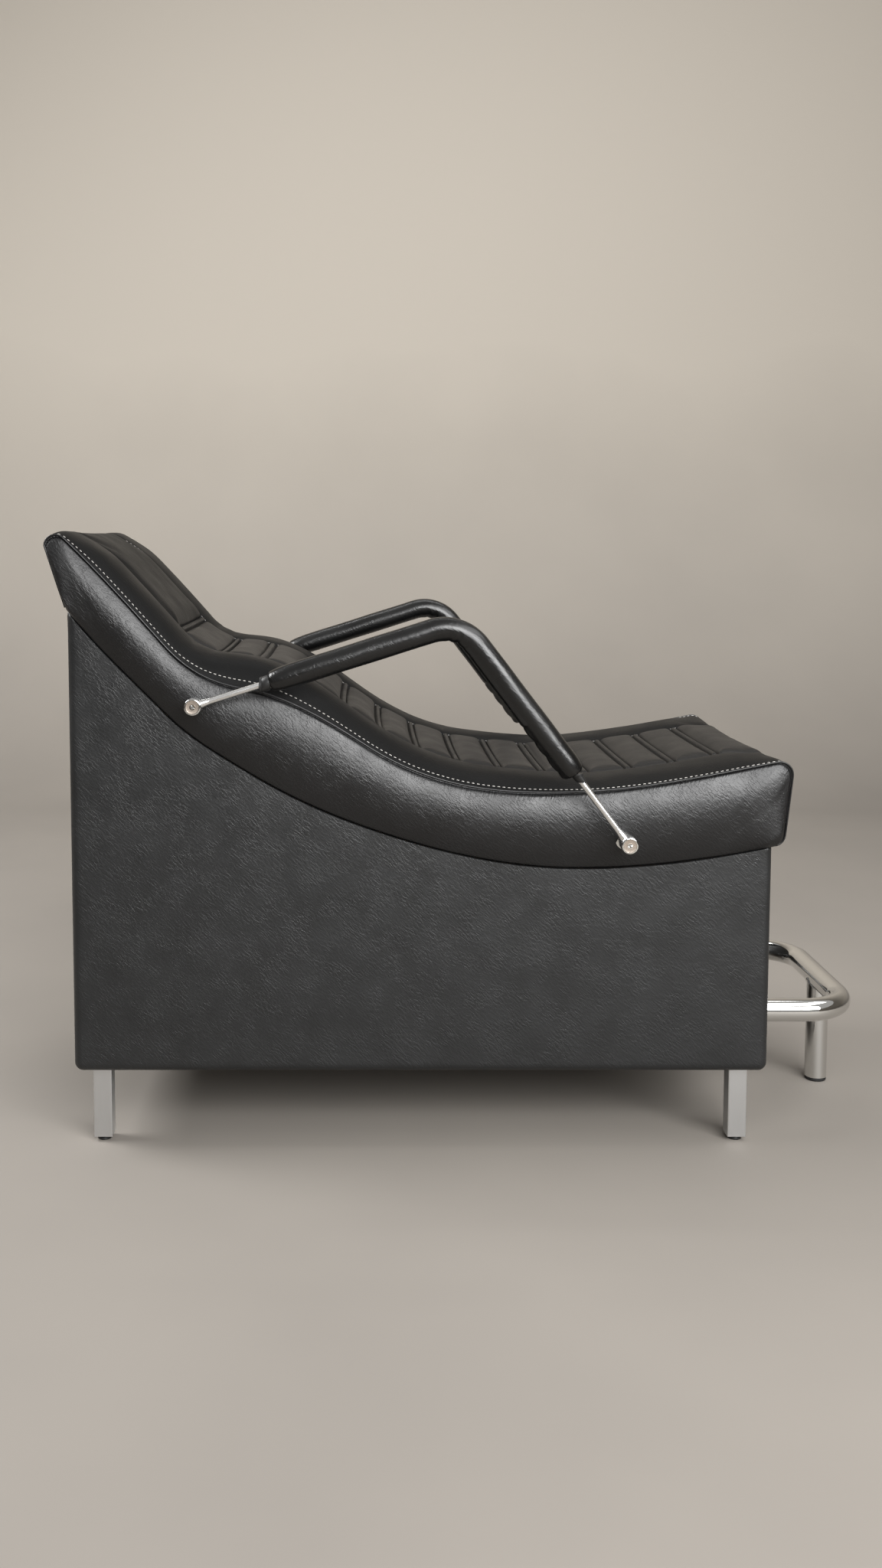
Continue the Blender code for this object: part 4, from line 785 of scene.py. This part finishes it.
def add_underside(shell, wrap_numbers, bottoms):
    """Close the cover below, hollowed over the seat frame's ribs and deck."""
    line, up = under_cushion(cushion_rows())
    rib_room, deck_room = 63 * MM, 35 * MM
    outer, inner = RIB_OUTER_Y + 0.6 * MM, RIB_INNER_Y - 4.5 * MM
    section = [(outer, 0), (outer, rib_room), (inner, rib_room), (inner, deck_room), (0.0, deck_room)]
    hollow = section + [(-y, rise) for y, rise in section[-2::-1]]
    inside = ((line[:, 0] > CAVITY_START) & (line[:, 0] < CAVITY_END)).astype(float)
    columns = []
    for y, rise in hollow[::-1]:
        spots = line + up * (rise * inside)[:, None]
        columns.append(np.column_stack([spots[:, 0], np.full(len(spots), y), spots[:, 1]]))
    numbers = shell.add_points(np.stack(columns, axis=1)).reshape(len(line), -1)
    numbers = np.column_stack([bottoms[-1], numbers, bottoms[1]])
    shell.join(numbers[1:-1], part=1)
    shell.add_face([*wrap_numbers[0], *numbers[1, ::-1]], 1)
    shell.add_face([*wrap_numbers[-1], *numbers[-2, ::-1]], 1)


def make_cushion():
    """The seat cushion: its sewn cover, blown up and closed below."""
    shell, sewn, wrap_numbers, bottoms = cushion_cover()
    draft = shell.make("cushion_draft", TOP_VINYL, SIDE_VINYL, PANEL_VINYL_WITH_PAINTED_SHEEN)
    blow_up(draft, shell.number[sewn])
    moved = np.array([v.co for v in draft.data.vertices])
    shell.points = moved[shell.number].tolist()
    bpy.data.objects.remove(draft)
    add_underside(shell, wrap_numbers, bottoms)
    cushion = shell.make("seat_cushion_cover", TOP_VINYL, SIDE_VINYL, PANEL_VINYL_WITH_PAINTED_SHEEN, crease=75)
    finer = cushion.modifiers.new("finer", "SUBSURF")
    finer.levels = finer.render_levels = 1
    place_piece(cushion, "black_vinyl", "seat_cushion")
    return cushion


def make_welts():
    """Piping along both side seams, from the base's head corner round to its foot corner."""
    s = steps(3 * MM, SEAM.end - 3 * MM, 4 * MM)
    points, normals = SEAM.at(s)
    spots = points + normals * WELT_RISE
    for name, side in SIDES.items():
        shell = Shell()
        path = np.column_stack([spots[:, 0], side * (edge_y(s) + WELT_RISE), spots[:, 1]])
        add_bar(shell, path, ACROSS, WELT_RADIUS, 10)
        place_piece(shell.make(f"side_welt_{name}", WELT_VINYL), "black_vinyl")


def surface_of(obj):
    """Search tree of a finished piece's surface."""
    evaluated = obj.evaluated_get(bpy.context.evaluated_depsgraph_get())
    mesh = evaluated.to_mesh()
    points = [v.co.copy() for v in mesh.vertices]
    return BVHTree.FromPolygons(points, [tuple(p.vertices) for p in mesh.polygons])


def add_stitches(shell, surface, s, across, size):
    """Lay a row of low stitches on the cushion, at distances along it and at one place across."""
    length, radius = size
    path = top_points(s, np.full(len(s), across / SEAM_Y))
    heading = unit(np.gradient(path, axis=0))
    reach = np.array((-0.5, -0.36, 0.36, 0.5))[:, None] * length
    lift = np.array((-0.35, 0.0, 0.0, -0.35))[:, None] * radius
    for point, along in zip(path, heading):
        spot, normal, _, _ = surface.find_nearest(Vector(point))
        normal = np.array(normal)
        bar = np.array(spot) + normal * STITCH_LIFT + along * reach + normal * lift
        add_bar(shell, bar, normal, np.array((0.45, 1, 1, 0.45)) * radius, 6)


def make_stitching(cushion):
    """White topstitching beside the side seams, and quieter stitching along the panel's seams."""
    surface = surface_of(cushion)
    by_seam = np.arange(10 * MM, SEAM.end - 30 * MM, STITCH_PITCH)
    by_panel = np.arange(SEAM.top + 20 * MM, SEAM.toe - 20 * MM, STITCH_PITCH)
    for name, side in SIDES.items():
        shell = Shell()
        add_stitches(shell, surface, by_seam, side * (SEAM_Y - TOPSTITCH_IN), TOPSTITCH)
        place_piece(shell.make(f"topstitch_{name}", WHITE_THREAD), None)
        shell = Shell()
        add_stitches(shell, surface, by_panel, side * (PANEL_SEAM_Y + PANEL_STITCH_OUT), PANEL_STITCH)
        place_piece(shell.make(f"panel_stitch_{name}", GREY_THREAD), None)


# Base covers

# How a cover is drawn round its edges: width of the roll and size of the corners
OPEN_EDGE = (13 * MM, 14 * MM)
TUCKED_EDGE = (0.7 * MM, 4 * MM)    # tight, under the cushion
END_EDGE = (3 * MM, 1.5 * MM)
UNDER_FOLD = 4 * MM                 # the vinyl folded under the box stands below its boards
COVER_THICKNESS = 8 * MM
COVER_PUFF = 1.2 * MM               # how far the foam lifts a cover's middle
PUFF_REACH = 50 * MM
COVER_GAP = 0.5 * MM                # over the end covers, under the cushion
EDGE_GAPS = np.array((0, 0.3, 1, 2, 3.4, 5.2, 7.4, 10, 14, 20, 28)) * MM


def cover_places(length, spacing):
    """Places across a cover: close together near both edges."""
    middle = steps(EDGE_GAPS[-1], length - EDGE_GAPS[-1], spacing)
    return np.concatenate([EDGE_GAPS[:-1], middle, length - EDGE_GAPS[-2::-1]])


def cover_grid(along, low, high, lean, edge, top_edge):
    """In-plane points of a padded cover and how far each lies behind its face.

    Along, low and high are places of its columns and their ends; lean is the slope's cosine at the
    high end, so that rolls keep their width on a sloping edge.
    """
    columns = along - along[0]
    end_gap = np.minimum(columns, columns[-1] - columns)
    places = cover_places(1.0, 12 * MM)
    tall = (high - low)[:, None]
    count = len(EDGE_GAPS)
    up = np.empty((len(along), len(places)))
    inner = np.linspace(0, 1, len(places) - 2 * count + 2)
    start, stop = EDGE_GAPS[-1], tall[:, 0] - EDGE_GAPS[-1] / lean
    up[:, :count] = EDGE_GAPS
    up[:, -count:] = tall - EDGE_GAPS[::-1] / lean[:, None]
    up[:, count - 1:len(places) - count + 1] = start + (stop - start)[:, None] * inner
    foot_gap, top_gap = up, (tall - up) * lean[:, None]
    edge_gap = np.minimum(foot_gap, top_gap)
    toward_edge = np.where(foot_gap < top_gap, -1, 1)
    corner = np.where(toward_edge > 0, top_edge[1], edge[1])
    p = np.clip(1 - end_gap[:, None] / corner, 0, 1)
    q = np.clip(1 - edge_gap / corner, 0, 1)
    p_round, q_round = p * np.sqrt(1 - q * q / 2), q * np.sqrt(1 - p * p / 2)
    toward_end = np.where(columns < columns[-1] / 2, -1, 1)[:, None]
    x = along[:, None] + toward_end * corner * (p_round - p)
    shift = toward_edge * corner * (q_round - q) / np.where(foot_gap < top_gap, 1, lean[:, None])
    slope = np.where(foot_gap < top_gap, 0, np.gradient(high, along)[:, None])
    z = low[:, None] + up + shift + slope * (x - along[:, None])
    gap = np.where((p > 0) & (q > 0), corner * (1 - np.hypot(p_round, q_round)),
                   np.minimum(end_gap[:, None], edge_gap))
    tight = smooth((end_gap[:, None] - top_gap) / (15 * MM)) * (toward_edge > 0)
    roll = edge[0]
    bend = np.clip(1 - gap / roll * (1 + (roll / top_edge[0] - 1) * tight), 0, 1)
    behind = roll * (1 - np.sqrt(1 - bend * bend)) - COVER_PUFF * (1 - np.exp(-gap / PUFF_REACH))
    return x, z, behind


def add_front(shell, grid):
    """Add the face grid of a cover and return its outer points, once round."""
    numbers = shell.add_grid(grid)
    rim = np.concatenate([numbers[:, 0], numbers[-1, 1:], numbers[-2::-1, -1], numbers[0, -2:0:-1]])
    return np.array(shell.points)[rim]


def add_cover(shell, grid, inward, depth):
    """A padded cover as a tray: its face grid, the turned-in edge and a pocket behind it."""
    edge = add_front(shell, grid)
    inward = np.array(inward, float)
    level = (edge * inward).sum(axis=1)
    back = edge + inward * (depth - level)[:, None]
    heading = unit(np.roll(edge, -1, axis=0) - np.roll(edge, 1, axis=0))
    into = np.cross(heading, inward)
    centre = edge.mean(axis=0)
    into = into * np.sign(np.median(((centre - edge) * into).sum(axis=1)))
    pocket = back + into * COVER_THICKNESS
    floor = pocket - inward * (depth - COVER_THICKNESS - level.max())
    rings = np.stack([edge, back, pocket, floor])
    ring_numbers = shell.add_points(rings).reshape(rings.shape[:2])
    shell.join(ring_numbers, around=True)
    wide, tall = grid.shape[:2]
    last = ring_numbers[-1]
    top = last[wide + tall - 2:2 * wide + tall - 2]
    shell.join(np.stack([last[:wide], top[::-1]]))
    shell.add_face(last[wide - 1:wide + tall - 1])
    shell.add_face([*last[2 * wide + tall - 3:], last[0]])


def make_side_covers():
    """The box's long sides, their top edges under the cushion."""
    along = HEAD_X + cover_places(FOOT_X - HEAD_X, 14 * MM)
    high = height_on(BASE_CURVE, along)
    low = np.full(len(along), BASE_BOTTOM - UNDER_FOLD)
    slope = np.gradient(high, along)
    x, z, behind = cover_grid(along, low, high, 1 / np.hypot(1, slope), OPEN_EDGE, TUCKED_EDGE)
    for name, side in SIDES.items():
        shell = Shell()
        grid = np.stack([x, side * (BASE_FACE_Y - behind), z], axis=-1)
        add_cover(shell, grid, (0, -side, 0), -COVER_INNER_Y)
        cover = shell.make(f"base_side_cover_{name}", BASE_VINYL)
        place_piece(cover, "charcoal_vinyl", f"side_cover_{name}")


def make_end_covers():
    """Head and foot ends: flat padded covers between the sides, the foot one holed for the tubes."""
    for name, turn in (("head_cover", -1), ("foot_cover", 1)):
        low_box, high_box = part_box(name)
        face, back = (high_box.x, low_box.x) if turn > 0 else (low_box.x, high_box.x)
        along = low_box.y + cover_places(high_box.y - low_box.y, 14 * MM)
        low = np.full(len(along), low_box.z - UNDER_FOLD)
        high = np.full(len(along), height_on(BASE_CURVE, face - turn * END_EDGE[0]) - COVER_GAP)
        y, z, behind = cover_grid(along, low, high, np.ones(len(along)), END_EDGE, END_EDGE)
        shell = Shell()
        grid = np.stack([face - turn * (behind + COVER_PUFF), y, z], axis=-1)
        edge = add_front(shell, grid)
        rear = edge.copy()
        rear[:, 0] = back
        rear[:, 2] = np.minimum(rear[:, 2], height_on(BASE_CURVE, back) - COVER_GAP)
        rings = shell.add_points(np.stack([edge, rear])).reshape(2, -1)
        shell.join(rings, around=True)
        shell.add_face(rings[1])
        cover = shell.make(f"base_{name}", BASE_VINYL)
        if turn > 0:
            cut_tube_holes(cover)
        place_piece(cover, "charcoal_vinyl", name)


def cut_tube_holes(cover):
    """Cut the footrest tubes' two round holes through the foot cover."""
    shell = Shell()
    for side in SIDES.values():
        centre = (FOOT_X, side * TUBE_Y, TUBE_Z)
        hole, reach = TUBE_RADIUS + 0.5 * MM, 50 * MM
        add_turned(shell, centre, (1, 0, 0), [(0, -reach), (hole, -reach), (hole, reach), (0, reach)])
    cutter = shell.make("tube_hole_cutter")
    cut = cover.modifiers.new("tube_holes", "BOOLEAN")
    cut.object = cutter
    cut.solver = "EXACT"
    cut_mesh = bpy.data.meshes.new_from_object(cover.evaluated_get(bpy.context.evaluated_depsgraph_get()))
    cover.modifiers.remove(cut)
    cover.data = cut_mesh
    bpy.data.objects.remove(cutter)


# Arms

ARM_CORNER = np.array((HEAD_X + 0.6075, 0.8435))
ARM_BEND = 66 * MM
ROD_RADIUS = 5 * MM
ROD_FLARE = 2.2 * MM                # wider than the rod, at its eyes
SLEEVE_RADIUS = 18.5 * MM
SLEEVE_END_RADIUS = 12.6 * MM
SLEEVE_FROM_REAR = 106 * MM
SLEEVE_FROM_FRONT = 121 * MM
COLLAR_LENGTH = 17 * MM
FLAP_END = 0.56                     # share of the sleeve's front run under which the flap lies
FLAP_RISE = 3.2 * MM
# Creases in the sleeve's bend: place past its middle, width and depth
BEND_CREASES = ((6 * MM, 2.6 * MM, 2.4 * MM), (-11 * MM, 4 * MM, 1.2 * MM), (22 * MM, 4 * MM, 1.0 * MM))

# Turned profiles, as radius and height in millimetres
COLLARS = {
    "rear": ((6, 0), (11.4, 0), (12.3, 0.8), (12.3, 3.4), (11.7, 3.9), (11.7, 4.6), (12.2, 5.2), (12.6, 15.4),
             (12.2, 17.6), (6, 17.6)),
    "front": ((5.4, 0), (7.6, 0), (8.3, 0.7), (10.2, 12.4), (10.9, 13.0), (11.6, 15.4), (11.8, 17.6),
              (6, 17.6)),
}
EYE = ((4.4, -11), (13, -11), (13, 11), (4.4, 11))
BOLT_HEAD = ((4, -4), (12.8, -4), (12.8, -1.1), (12.2, -0.3), (11.4, 0), (10.3, -0.1), (9.9, -0.7),
             (9.4, -0.8), (4.4, -0.8), (4.2, -0.35), (3.0, -0.35), (2.6, -0.9), (1.6, -2.2), (0, -2.4))
BRUSHED_BANDS = (8, 9, 10)          # of a bolt's profile: its sunk face and that face's edges
STANDOFF = ((4.4, 0), (15, 0), (15, 2.6), (12.4, 3.2), (10.4, 4.4), (10, 6), (10, 20), (4.4, 20))


class ArmLine:
    """An arm's middle line in the side view: two straights and the bend between them."""

    def __init__(self, name):
        ends = [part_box(f"arm_bolt_{end}_{name}") for end in ("rear", "front")]
        self.rear, self.front = (np.array(((a.x + b.x) / 2, (a.z + b.z) / 2)) for a, b in ends)
        low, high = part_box(f"arm_rod_{name}")
        self.y = (low.y + high.y) / 2
        self.rise = unit(ARM_CORNER - self.rear)
        self.fall = unit(self.front - ARM_CORNER)
        self.turn = math.acos(float(self.rise @ self.fall))
        setback = ARM_BEND * math.tan(self.turn / 2)
        self.bend_start = np.linalg.norm(ARM_CORNER - self.rear) - setback
        self.bend_end = self.bend_start + ARM_BEND * self.turn
        self.length = self.bend_end + np.linalg.norm(self.front - ARM_CORNER) - setback
        self.centre = ARM_CORNER - self.rise * setback + np.array((self.rise[1], -self.rise[0])) * ARM_BEND

    def path(self, places):
        """Points in space at distances from the rear eye."""
        spots = []
        for d in places:
            if d <= self.bend_start:
                spot = self.rear + self.rise * d
            elif d >= self.bend_end:
                spot = self.front - self.fall * (self.length - d)
            else:
                out = np.array((-self.rise[1], self.rise[0]))
                spot = self.centre + turn_clockwise(out, (d - self.bend_start) / ARM_BEND) * ARM_BEND
            spots.append((spot[0], self.y, spot[1]))
        return np.array(spots)


def make_sleeve(name, line):
    """Vinyl sleeve over foam: rounded ends, creases in the bend, a flap and a gathered seam below."""
    sides = 64
    start = SLEEVE_FROM_REAR + COLLAR_LENGTH
    end = line.length - SLEEVE_FROM_FRONT - COLLAR_LENGTH
    d = steps(start, end, 2.5 * MM)
    shoulder = np.clip(np.minimum((d - start) / (42 * MM), (end - d) / (30 * MM)), 0, 1)
    radius = SLEEVE_END_RADIUS + (SLEEVE_RADIUS - SLEEVE_END_RADIUS) * np.sqrt(1 - (1 - shoulder) ** 2.4)
    angle = np.arange(sides) * 2 * math.pi / sides
    below = np.clip(-np.sin(angle), 0, 1)[None, :]
    past = d - (line.bend_start + line.bend_end) / 2
    crease = sum(np.exp(-((past - place) / width) ** 2) * depth for place, width, depth in BEND_CREASES)
    ripple = 0.25 * MM * np.sin(d / (17 * MM))[:, None] * np.sin(2 * angle + 0.7)[None, :]
    radii = radius[:, None] - crease[:, None] * below ** 0.7 + ripple + seam_flap(line, d, angle, end)
    shell = Shell()
    add_bar(shell, line.path(d), ACROSS, radii, sides)
    sleeve = shell.make(f"arm_sleeve_{name}", ARM_VINYL, crease=60)
    place_piece(sleeve, "black_vinyl", f"arm_pad_{name}")


def seam_flap(line, d, angle, end):
    """How far the closing flap and the gathered seam stand out under the sleeve's front run."""
    front = end - line.bend_end
    run = (d - line.bend_end) / front
    from_under = angle - 1.5 * math.pi
    window = np.clip(1.35 - np.abs(from_under / 0.75) ** 4, 0, 1)
    flap = FLAP_RISE * smooth((run + 0.15) / 0.12) * (1 - smooth((run - FLAP_END) / 0.012))
    ridge = np.exp(-(from_under / 0.28) ** 2)
    lobes = np.abs(np.sin((run - FLAP_END) * front / (30 * MM) * math.pi)) ** 0.6
    seam = (1.2 * MM + 2.6 * MM * lobes) * smooth((run - FLAP_END) / 0.02) * smooth((1.02 - run) / 0.05)
    return flap[:, None] * window[None, :] + seam[:, None] * ridge[None, :]


def make_collars(name, line):
    """Moulded collars that close the sleeve's ends on the rod."""
    starts = {"rear": (SLEEVE_FROM_REAR, 1), "front": (line.length - SLEEVE_FROM_FRONT, -1)}
    for end, (start, turn) in starts.items():
        profile = in_mm(COLLARS[end])
        centre, tip = line.path([start, start + turn * profile[-1][1]])
        turned_piece(f"arm_collar_{end}_{name}", "black_plastic", f"arm_ferrule_{end}_{name}", [PLASTIC],
                     centre, unit(tip - centre), profile, sides=40)


def make_rod(name, line):
    """Satin-chromed bar, flared into a turned eye at each end."""
    shell = Shell()
    d = np.concatenate([steps(6 * MM, 40 * MM, 2 * MM), steps(44 * MM, line.length - 44 * MM, 5 * MM),
                        steps(line.length - 40 * MM, line.length - 6 * MM, 2 * MM)])
    from_eye = np.minimum(d, line.length - d)
    radii = ROD_RADIUS + ROD_FLARE * (1 - smooth((from_eye - 9 * MM) / (20 * MM)))
    add_bar(shell, line.path(d), ACROSS, radii, 24)
    eye = rounded_profile(in_mm(EYE), 1.6 * MM)
    for spot in (line.rear, line.front):
        add_turned(shell, (spot[0], line.y, spot[1]), (0, 1, 0), eye + eye[:1])
    place_piece(shell.make(f"arm_chrome_rod_{name}", ROD_STEEL, crease=40), "chrome", f"arm_rod_{name}")


def from_middle(node, side):
    """Least and greatest distance of a node's box from the chair's middle."""
    low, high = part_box(node)
    return sorted((side * low.y, side * high.y))


def make_fixings(name, side, line):
    """Cap bolts with a brushed face in a bright rim, and flanged stand-offs behind the eyes."""
    axis = (0, side, 0)
    for end, spot in (("rear", line.rear), ("front", line.front)):
        node = f"arm_bolt_{end}_{name}"
        inner, outer = from_middle(node, side)
        shank = (inner - outer) / MM
        profile = in_mm([(0, shank), (4, shank), *BOLT_HEAD])
        parts = [int(k in BRUSHED_BANDS) for k in range(len(profile) - 1)]
        turned_piece(f"arm_cap_bolt_{end}_{name}", "chrome", node, [CHROME, BOSS_STEEL_WITH_PAINTED_REFLECTION],
                     (spot[0], side * outer, spot[1]), axis, profile, crease=35, parts=parts)
        node = f"arm_standoff_{end}_{name}"
        inner, _ = from_middle(node, side)
        profile = rounded_profile(in_mm(STANDOFF), 0.8 * MM, 4)
        turned_piece(f"arm_spacer_{end}_{name}", "chrome", node, [CHROME],
                     (spot[0], side * inner, spot[1]), axis, profile + profile[:1])


def make_arms():
    """Both arms: sleeve, collars, rod and fixings."""
    for name, side in SIDES.items():
        line = ArmLine(name)
        make_sleeve(name, line)
        make_collars(name, line)
        make_rod(name, line)
        make_fixings(name, side, line)


# Footrest and feet

loop_low, loop_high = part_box("footrest_loop")
TUBE_RADIUS = (loop_high.z - loop_low.z) / 2
TUBE_Z = (loop_high.z + loop_low.z) / 2
TUBE_Y = loop_high.y - TUBE_RADIUS
BAR_X = loop_high.x - TUBE_RADIUS
TUBE_BEND = 80 * MM
TUBE_WALL = 2 * MM
WELD_SIZE = 1.5 * MM
RUBBER_TIP = ((0, 0), (18.3, 0), (18.5, 5.6), (17.0, 5.9), (16.4, 6.2))     # in millimetres


def make_footrest_loop():
    """One bent tube, open at its hidden ends."""
    straight = steps(loop_low.x, BAR_X - TUBE_BEND, 20 * MM)
    angle = np.linspace(0, math.pi / 2, 28)
    bend = np.column_stack([BAR_X - TUBE_BEND + np.sin(angle) * TUBE_BEND,
                            -TUBE_Y + TUBE_BEND - np.cos(angle) * TUBE_BEND])
    half = np.vstack([np.column_stack([straight, np.full(len(straight), -TUBE_Y)])[:-1], bend])
    flat = np.vstack([half, (half * (1, -1))[::-1]])
    path = np.column_stack([flat, np.full(len(flat), TUBE_Z)])
    shell = Shell()
    outer, bore = (shell.add_grid(rings_round(path, (0, 0, 1), radius, 48), around=True)
                   for radius in (TUBE_RADIUS, TUBE_RADIUS - TUBE_WALL))
    for end in (0, -1):
        shell.join(np.stack([outer[end], bore[end]]), around=True)
    place_piece(shell.make("footrest_chrome_loop", CHROME), "chrome", "footrest_loop")


def make_footrest_leg():
    """The loop's leg, coped to fit under its bar, and the rippled weld bead round it there."""
    spin = np.arange(64) * 2 * math.pi / 64
    out = np.column_stack([np.cos(spin), np.sin(spin), np.zeros(64)])
    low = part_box("footrest_leg")[0].z
    saddle = TUBE_Z - np.abs(np.sin(spin)) * TUBE_RADIUS
    wall = np.tile((BAR_X, 0, 0) + out * TUBE_RADIUS, (8, 1, 1))
    wall[:, :, 2] = low + (saddle - low) * np.linspace(0, 1, 8)[:, None]
    shell = Shell()
    numbers = shell.add_grid(wall, around=True)
    shell.add_face(numbers[0])
    shell.add_face(numbers[-1])
    place_piece(shell.make("footrest_chrome_leg", CHROME, crease=60), "chrome", "footrest_leg")

    shell = Shell()
    bead = (BAR_X, 0, TUBE_Z) + out * TUBE_RADIUS * 1.02
    bead[:, 2] -= np.sqrt(np.sin(spin) ** 2 + 0.01) * TUBE_RADIUS
    size = WELD_SIZE * (1 + np.sin(spin * 20) / 6)
    bead, out, size = (np.concatenate([ring, ring[:1]]) for ring in (bead, out, size))
    shell.add_grid(rings_round(bead, out, size, 10), around=True)
    place_piece(shell.make("footrest_weld", CHROME), "chrome")


def make_footrest_tip():
    """Rubber tip that the leg stands on."""
    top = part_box("footrest_tip")[1].z / MM
    profile = rounded_profile(in_mm([*RUBBER_TIP, (RUBBER_TIP[-1][0], top), (0, top)]), 1.4 * MM)
    turned_piece("footrest_rubber_tip", "black_rubber", "footrest_tip", [RUBBER], (BAR_X, 0, 0), (0, 0, 1),
                 profile)


def make_glides():
    """Round moulded feet of the levelling screws, with a finger-grip waist."""
    stud = 4.4 * MM
    for corner in ("head_left", "head_right", "foot_left", "foot_right"):
        low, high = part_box(f"glide_foot_{corner}")
        centre = ((low.x + high.x) / 2, (low.y + high.y) / 2, low.z)
        radius, tall = (high.x - low.x) / 2, high.z - low.z
        corners = [(0, 0), (radius, 0), (radius, 0.5 * tall), (radius - 1.5 * MM, 0.62 * tall),
                   (radius - 1.2 * MM, tall), (stud, tall), (stud, 0.45 * tall), (0, 0.45 * tall)]
        turned_piece(f"glide_disc_{corner}", "black_plastic", f"glide_foot_{corner}", [PLASTIC], centre,
                     (0, 0, 1), rounded_profile(corners, 1 * MM), body=f"glide_pad_{corner}")


def finish_cad_nodes():
    """Give every node of the frame the finish of its record slot."""
    for row in frame["record"]["subparts"]:
        node = frame["nodes"][row["node"]]
        node.data.materials.clear()
        node.data.materials.append(FINISHES[row["material_slot"]])


# Studio

# Softboxes: name, place, the point that each faces, size and power in watts
SOFTBOXES = (
    ("softbox_front", (1.5, -3.3, 2.1), (0.3, -0.3, 0.6), (3.4, 1.7), 285),
    ("softbox_over_front", (1.3, -1.0, 2.5), (0.2, -0.3, 0.7), (2.8, 0.8), 30),
    ("softbox_head_end", (-2.8, 0.2, 2.6), (-1.2, 0.5, 0.0), (1.4, 1.4), 140),
    ("softbox_backdrop", (0.0, 1.0, 3.4), (0.0, 4.0, 1.4), (3.0, 0.8), 70),
)


def make_backdrop():
    """Pale floor swept up into a backdrop that curves round behind the chair and both its ends."""
    reach, back, tall, sweep = 16.0, 4.0, 7.0, 1.4
    angle = np.linspace(0, math.pi / 2, 16)
    out = np.concatenate([[0.02], reach - sweep + np.sin(angle) * sweep, [reach]])
    rise = np.concatenate([[0.0], sweep - np.cos(angle) * sweep, [tall]])
    heading = np.radians(np.linspace(-110, 110, 89))
    grid = np.stack([np.outer(np.sin(heading), out), back - reach + np.outer(np.cos(heading), out),
                     np.tile(rise, (len(heading), 1))], axis=-1)
    shell = Shell()
    shell.add_grid(grid)
    floor = shell.make("studio_sweep", STUDIO)


def make_lamps():
    """A broad softbox in front and three weaker ones."""
    for name, place, aim, size, power in SOFTBOXES:
        data = bpy.data.lights.new(name, "AREA")
        data.shape = "RECTANGLE"
        data.size, data.size_y = size
        data.energy = power
        lamp = bpy.data.objects.new(name, data)
        lamp.location = place
        lamp.rotation_euler = (Vector(aim) - Vector(place)).to_track_quat("-Z", "Y").to_euler()
        bpy.context.scene.collection.objects.link(lamp)


def make_world():
    """Even pale light from all round, a little stronger from above."""
    world = bpy.data.worlds.new("studio_air")
    world.use_nodes = True
    heading = add_node(world, "TexCoord").outputs["Generated"]
    rise = add_node(world, "SeparateXYZ", {0: heading}).outputs[2]
    level = add_node(world, "MapRange", {
        "Value": rise, "From Min": -0.1, "From Max": 0.9, "To Min": 0.40, "To Max": 0.52})
    sky = world.node_tree.nodes["Background"]
    sky.inputs["Color"].default_value = linear("f3f1ee")
    bpy.context.scene.world = wire(world, sky, Strength=level)


def make_camera():
    """The photograph's view: a 1152 x 2048 frame, its long side on a 36 mm sensor."""
    frame_wide, frame_tall, sensor = 1152, 2048, 36
    focal, axis_x, axis_y = 1853.8, 470.3, 857.8    # in pixels
    place, down = (-0.1749, -2.4906, 0.9665), 4.676     # in metres, and degrees below level
    data = bpy.data.cameras.new("photo_camera")
    data.sensor_width = sensor
    data.lens = focal / frame_tall * sensor
    data.shift_x = (frame_wide / 2 - axis_x) / frame_tall
    data.shift_y = (axis_y - frame_tall / 2) / frame_tall
    camera = bpy.data.objects.new("photo_camera", data)
    camera.location = place
    camera.rotation_euler = (math.radians(90 - down), 0, 0)
    bpy.context.scene.collection.objects.link(camera)
    bpy.context.scene.camera = camera


finish_cad_nodes()
cushion = make_cushion()
make_welts()
make_stitching(cushion)
make_side_covers()
make_end_covers()
make_arms()
make_footrest_loop()
make_footrest_leg()
make_footrest_tip()
make_glides()
make_backdrop()
make_lamps()
make_world()
make_camera()
bpy.context.scene.view_settings.view_transform = "Standard"
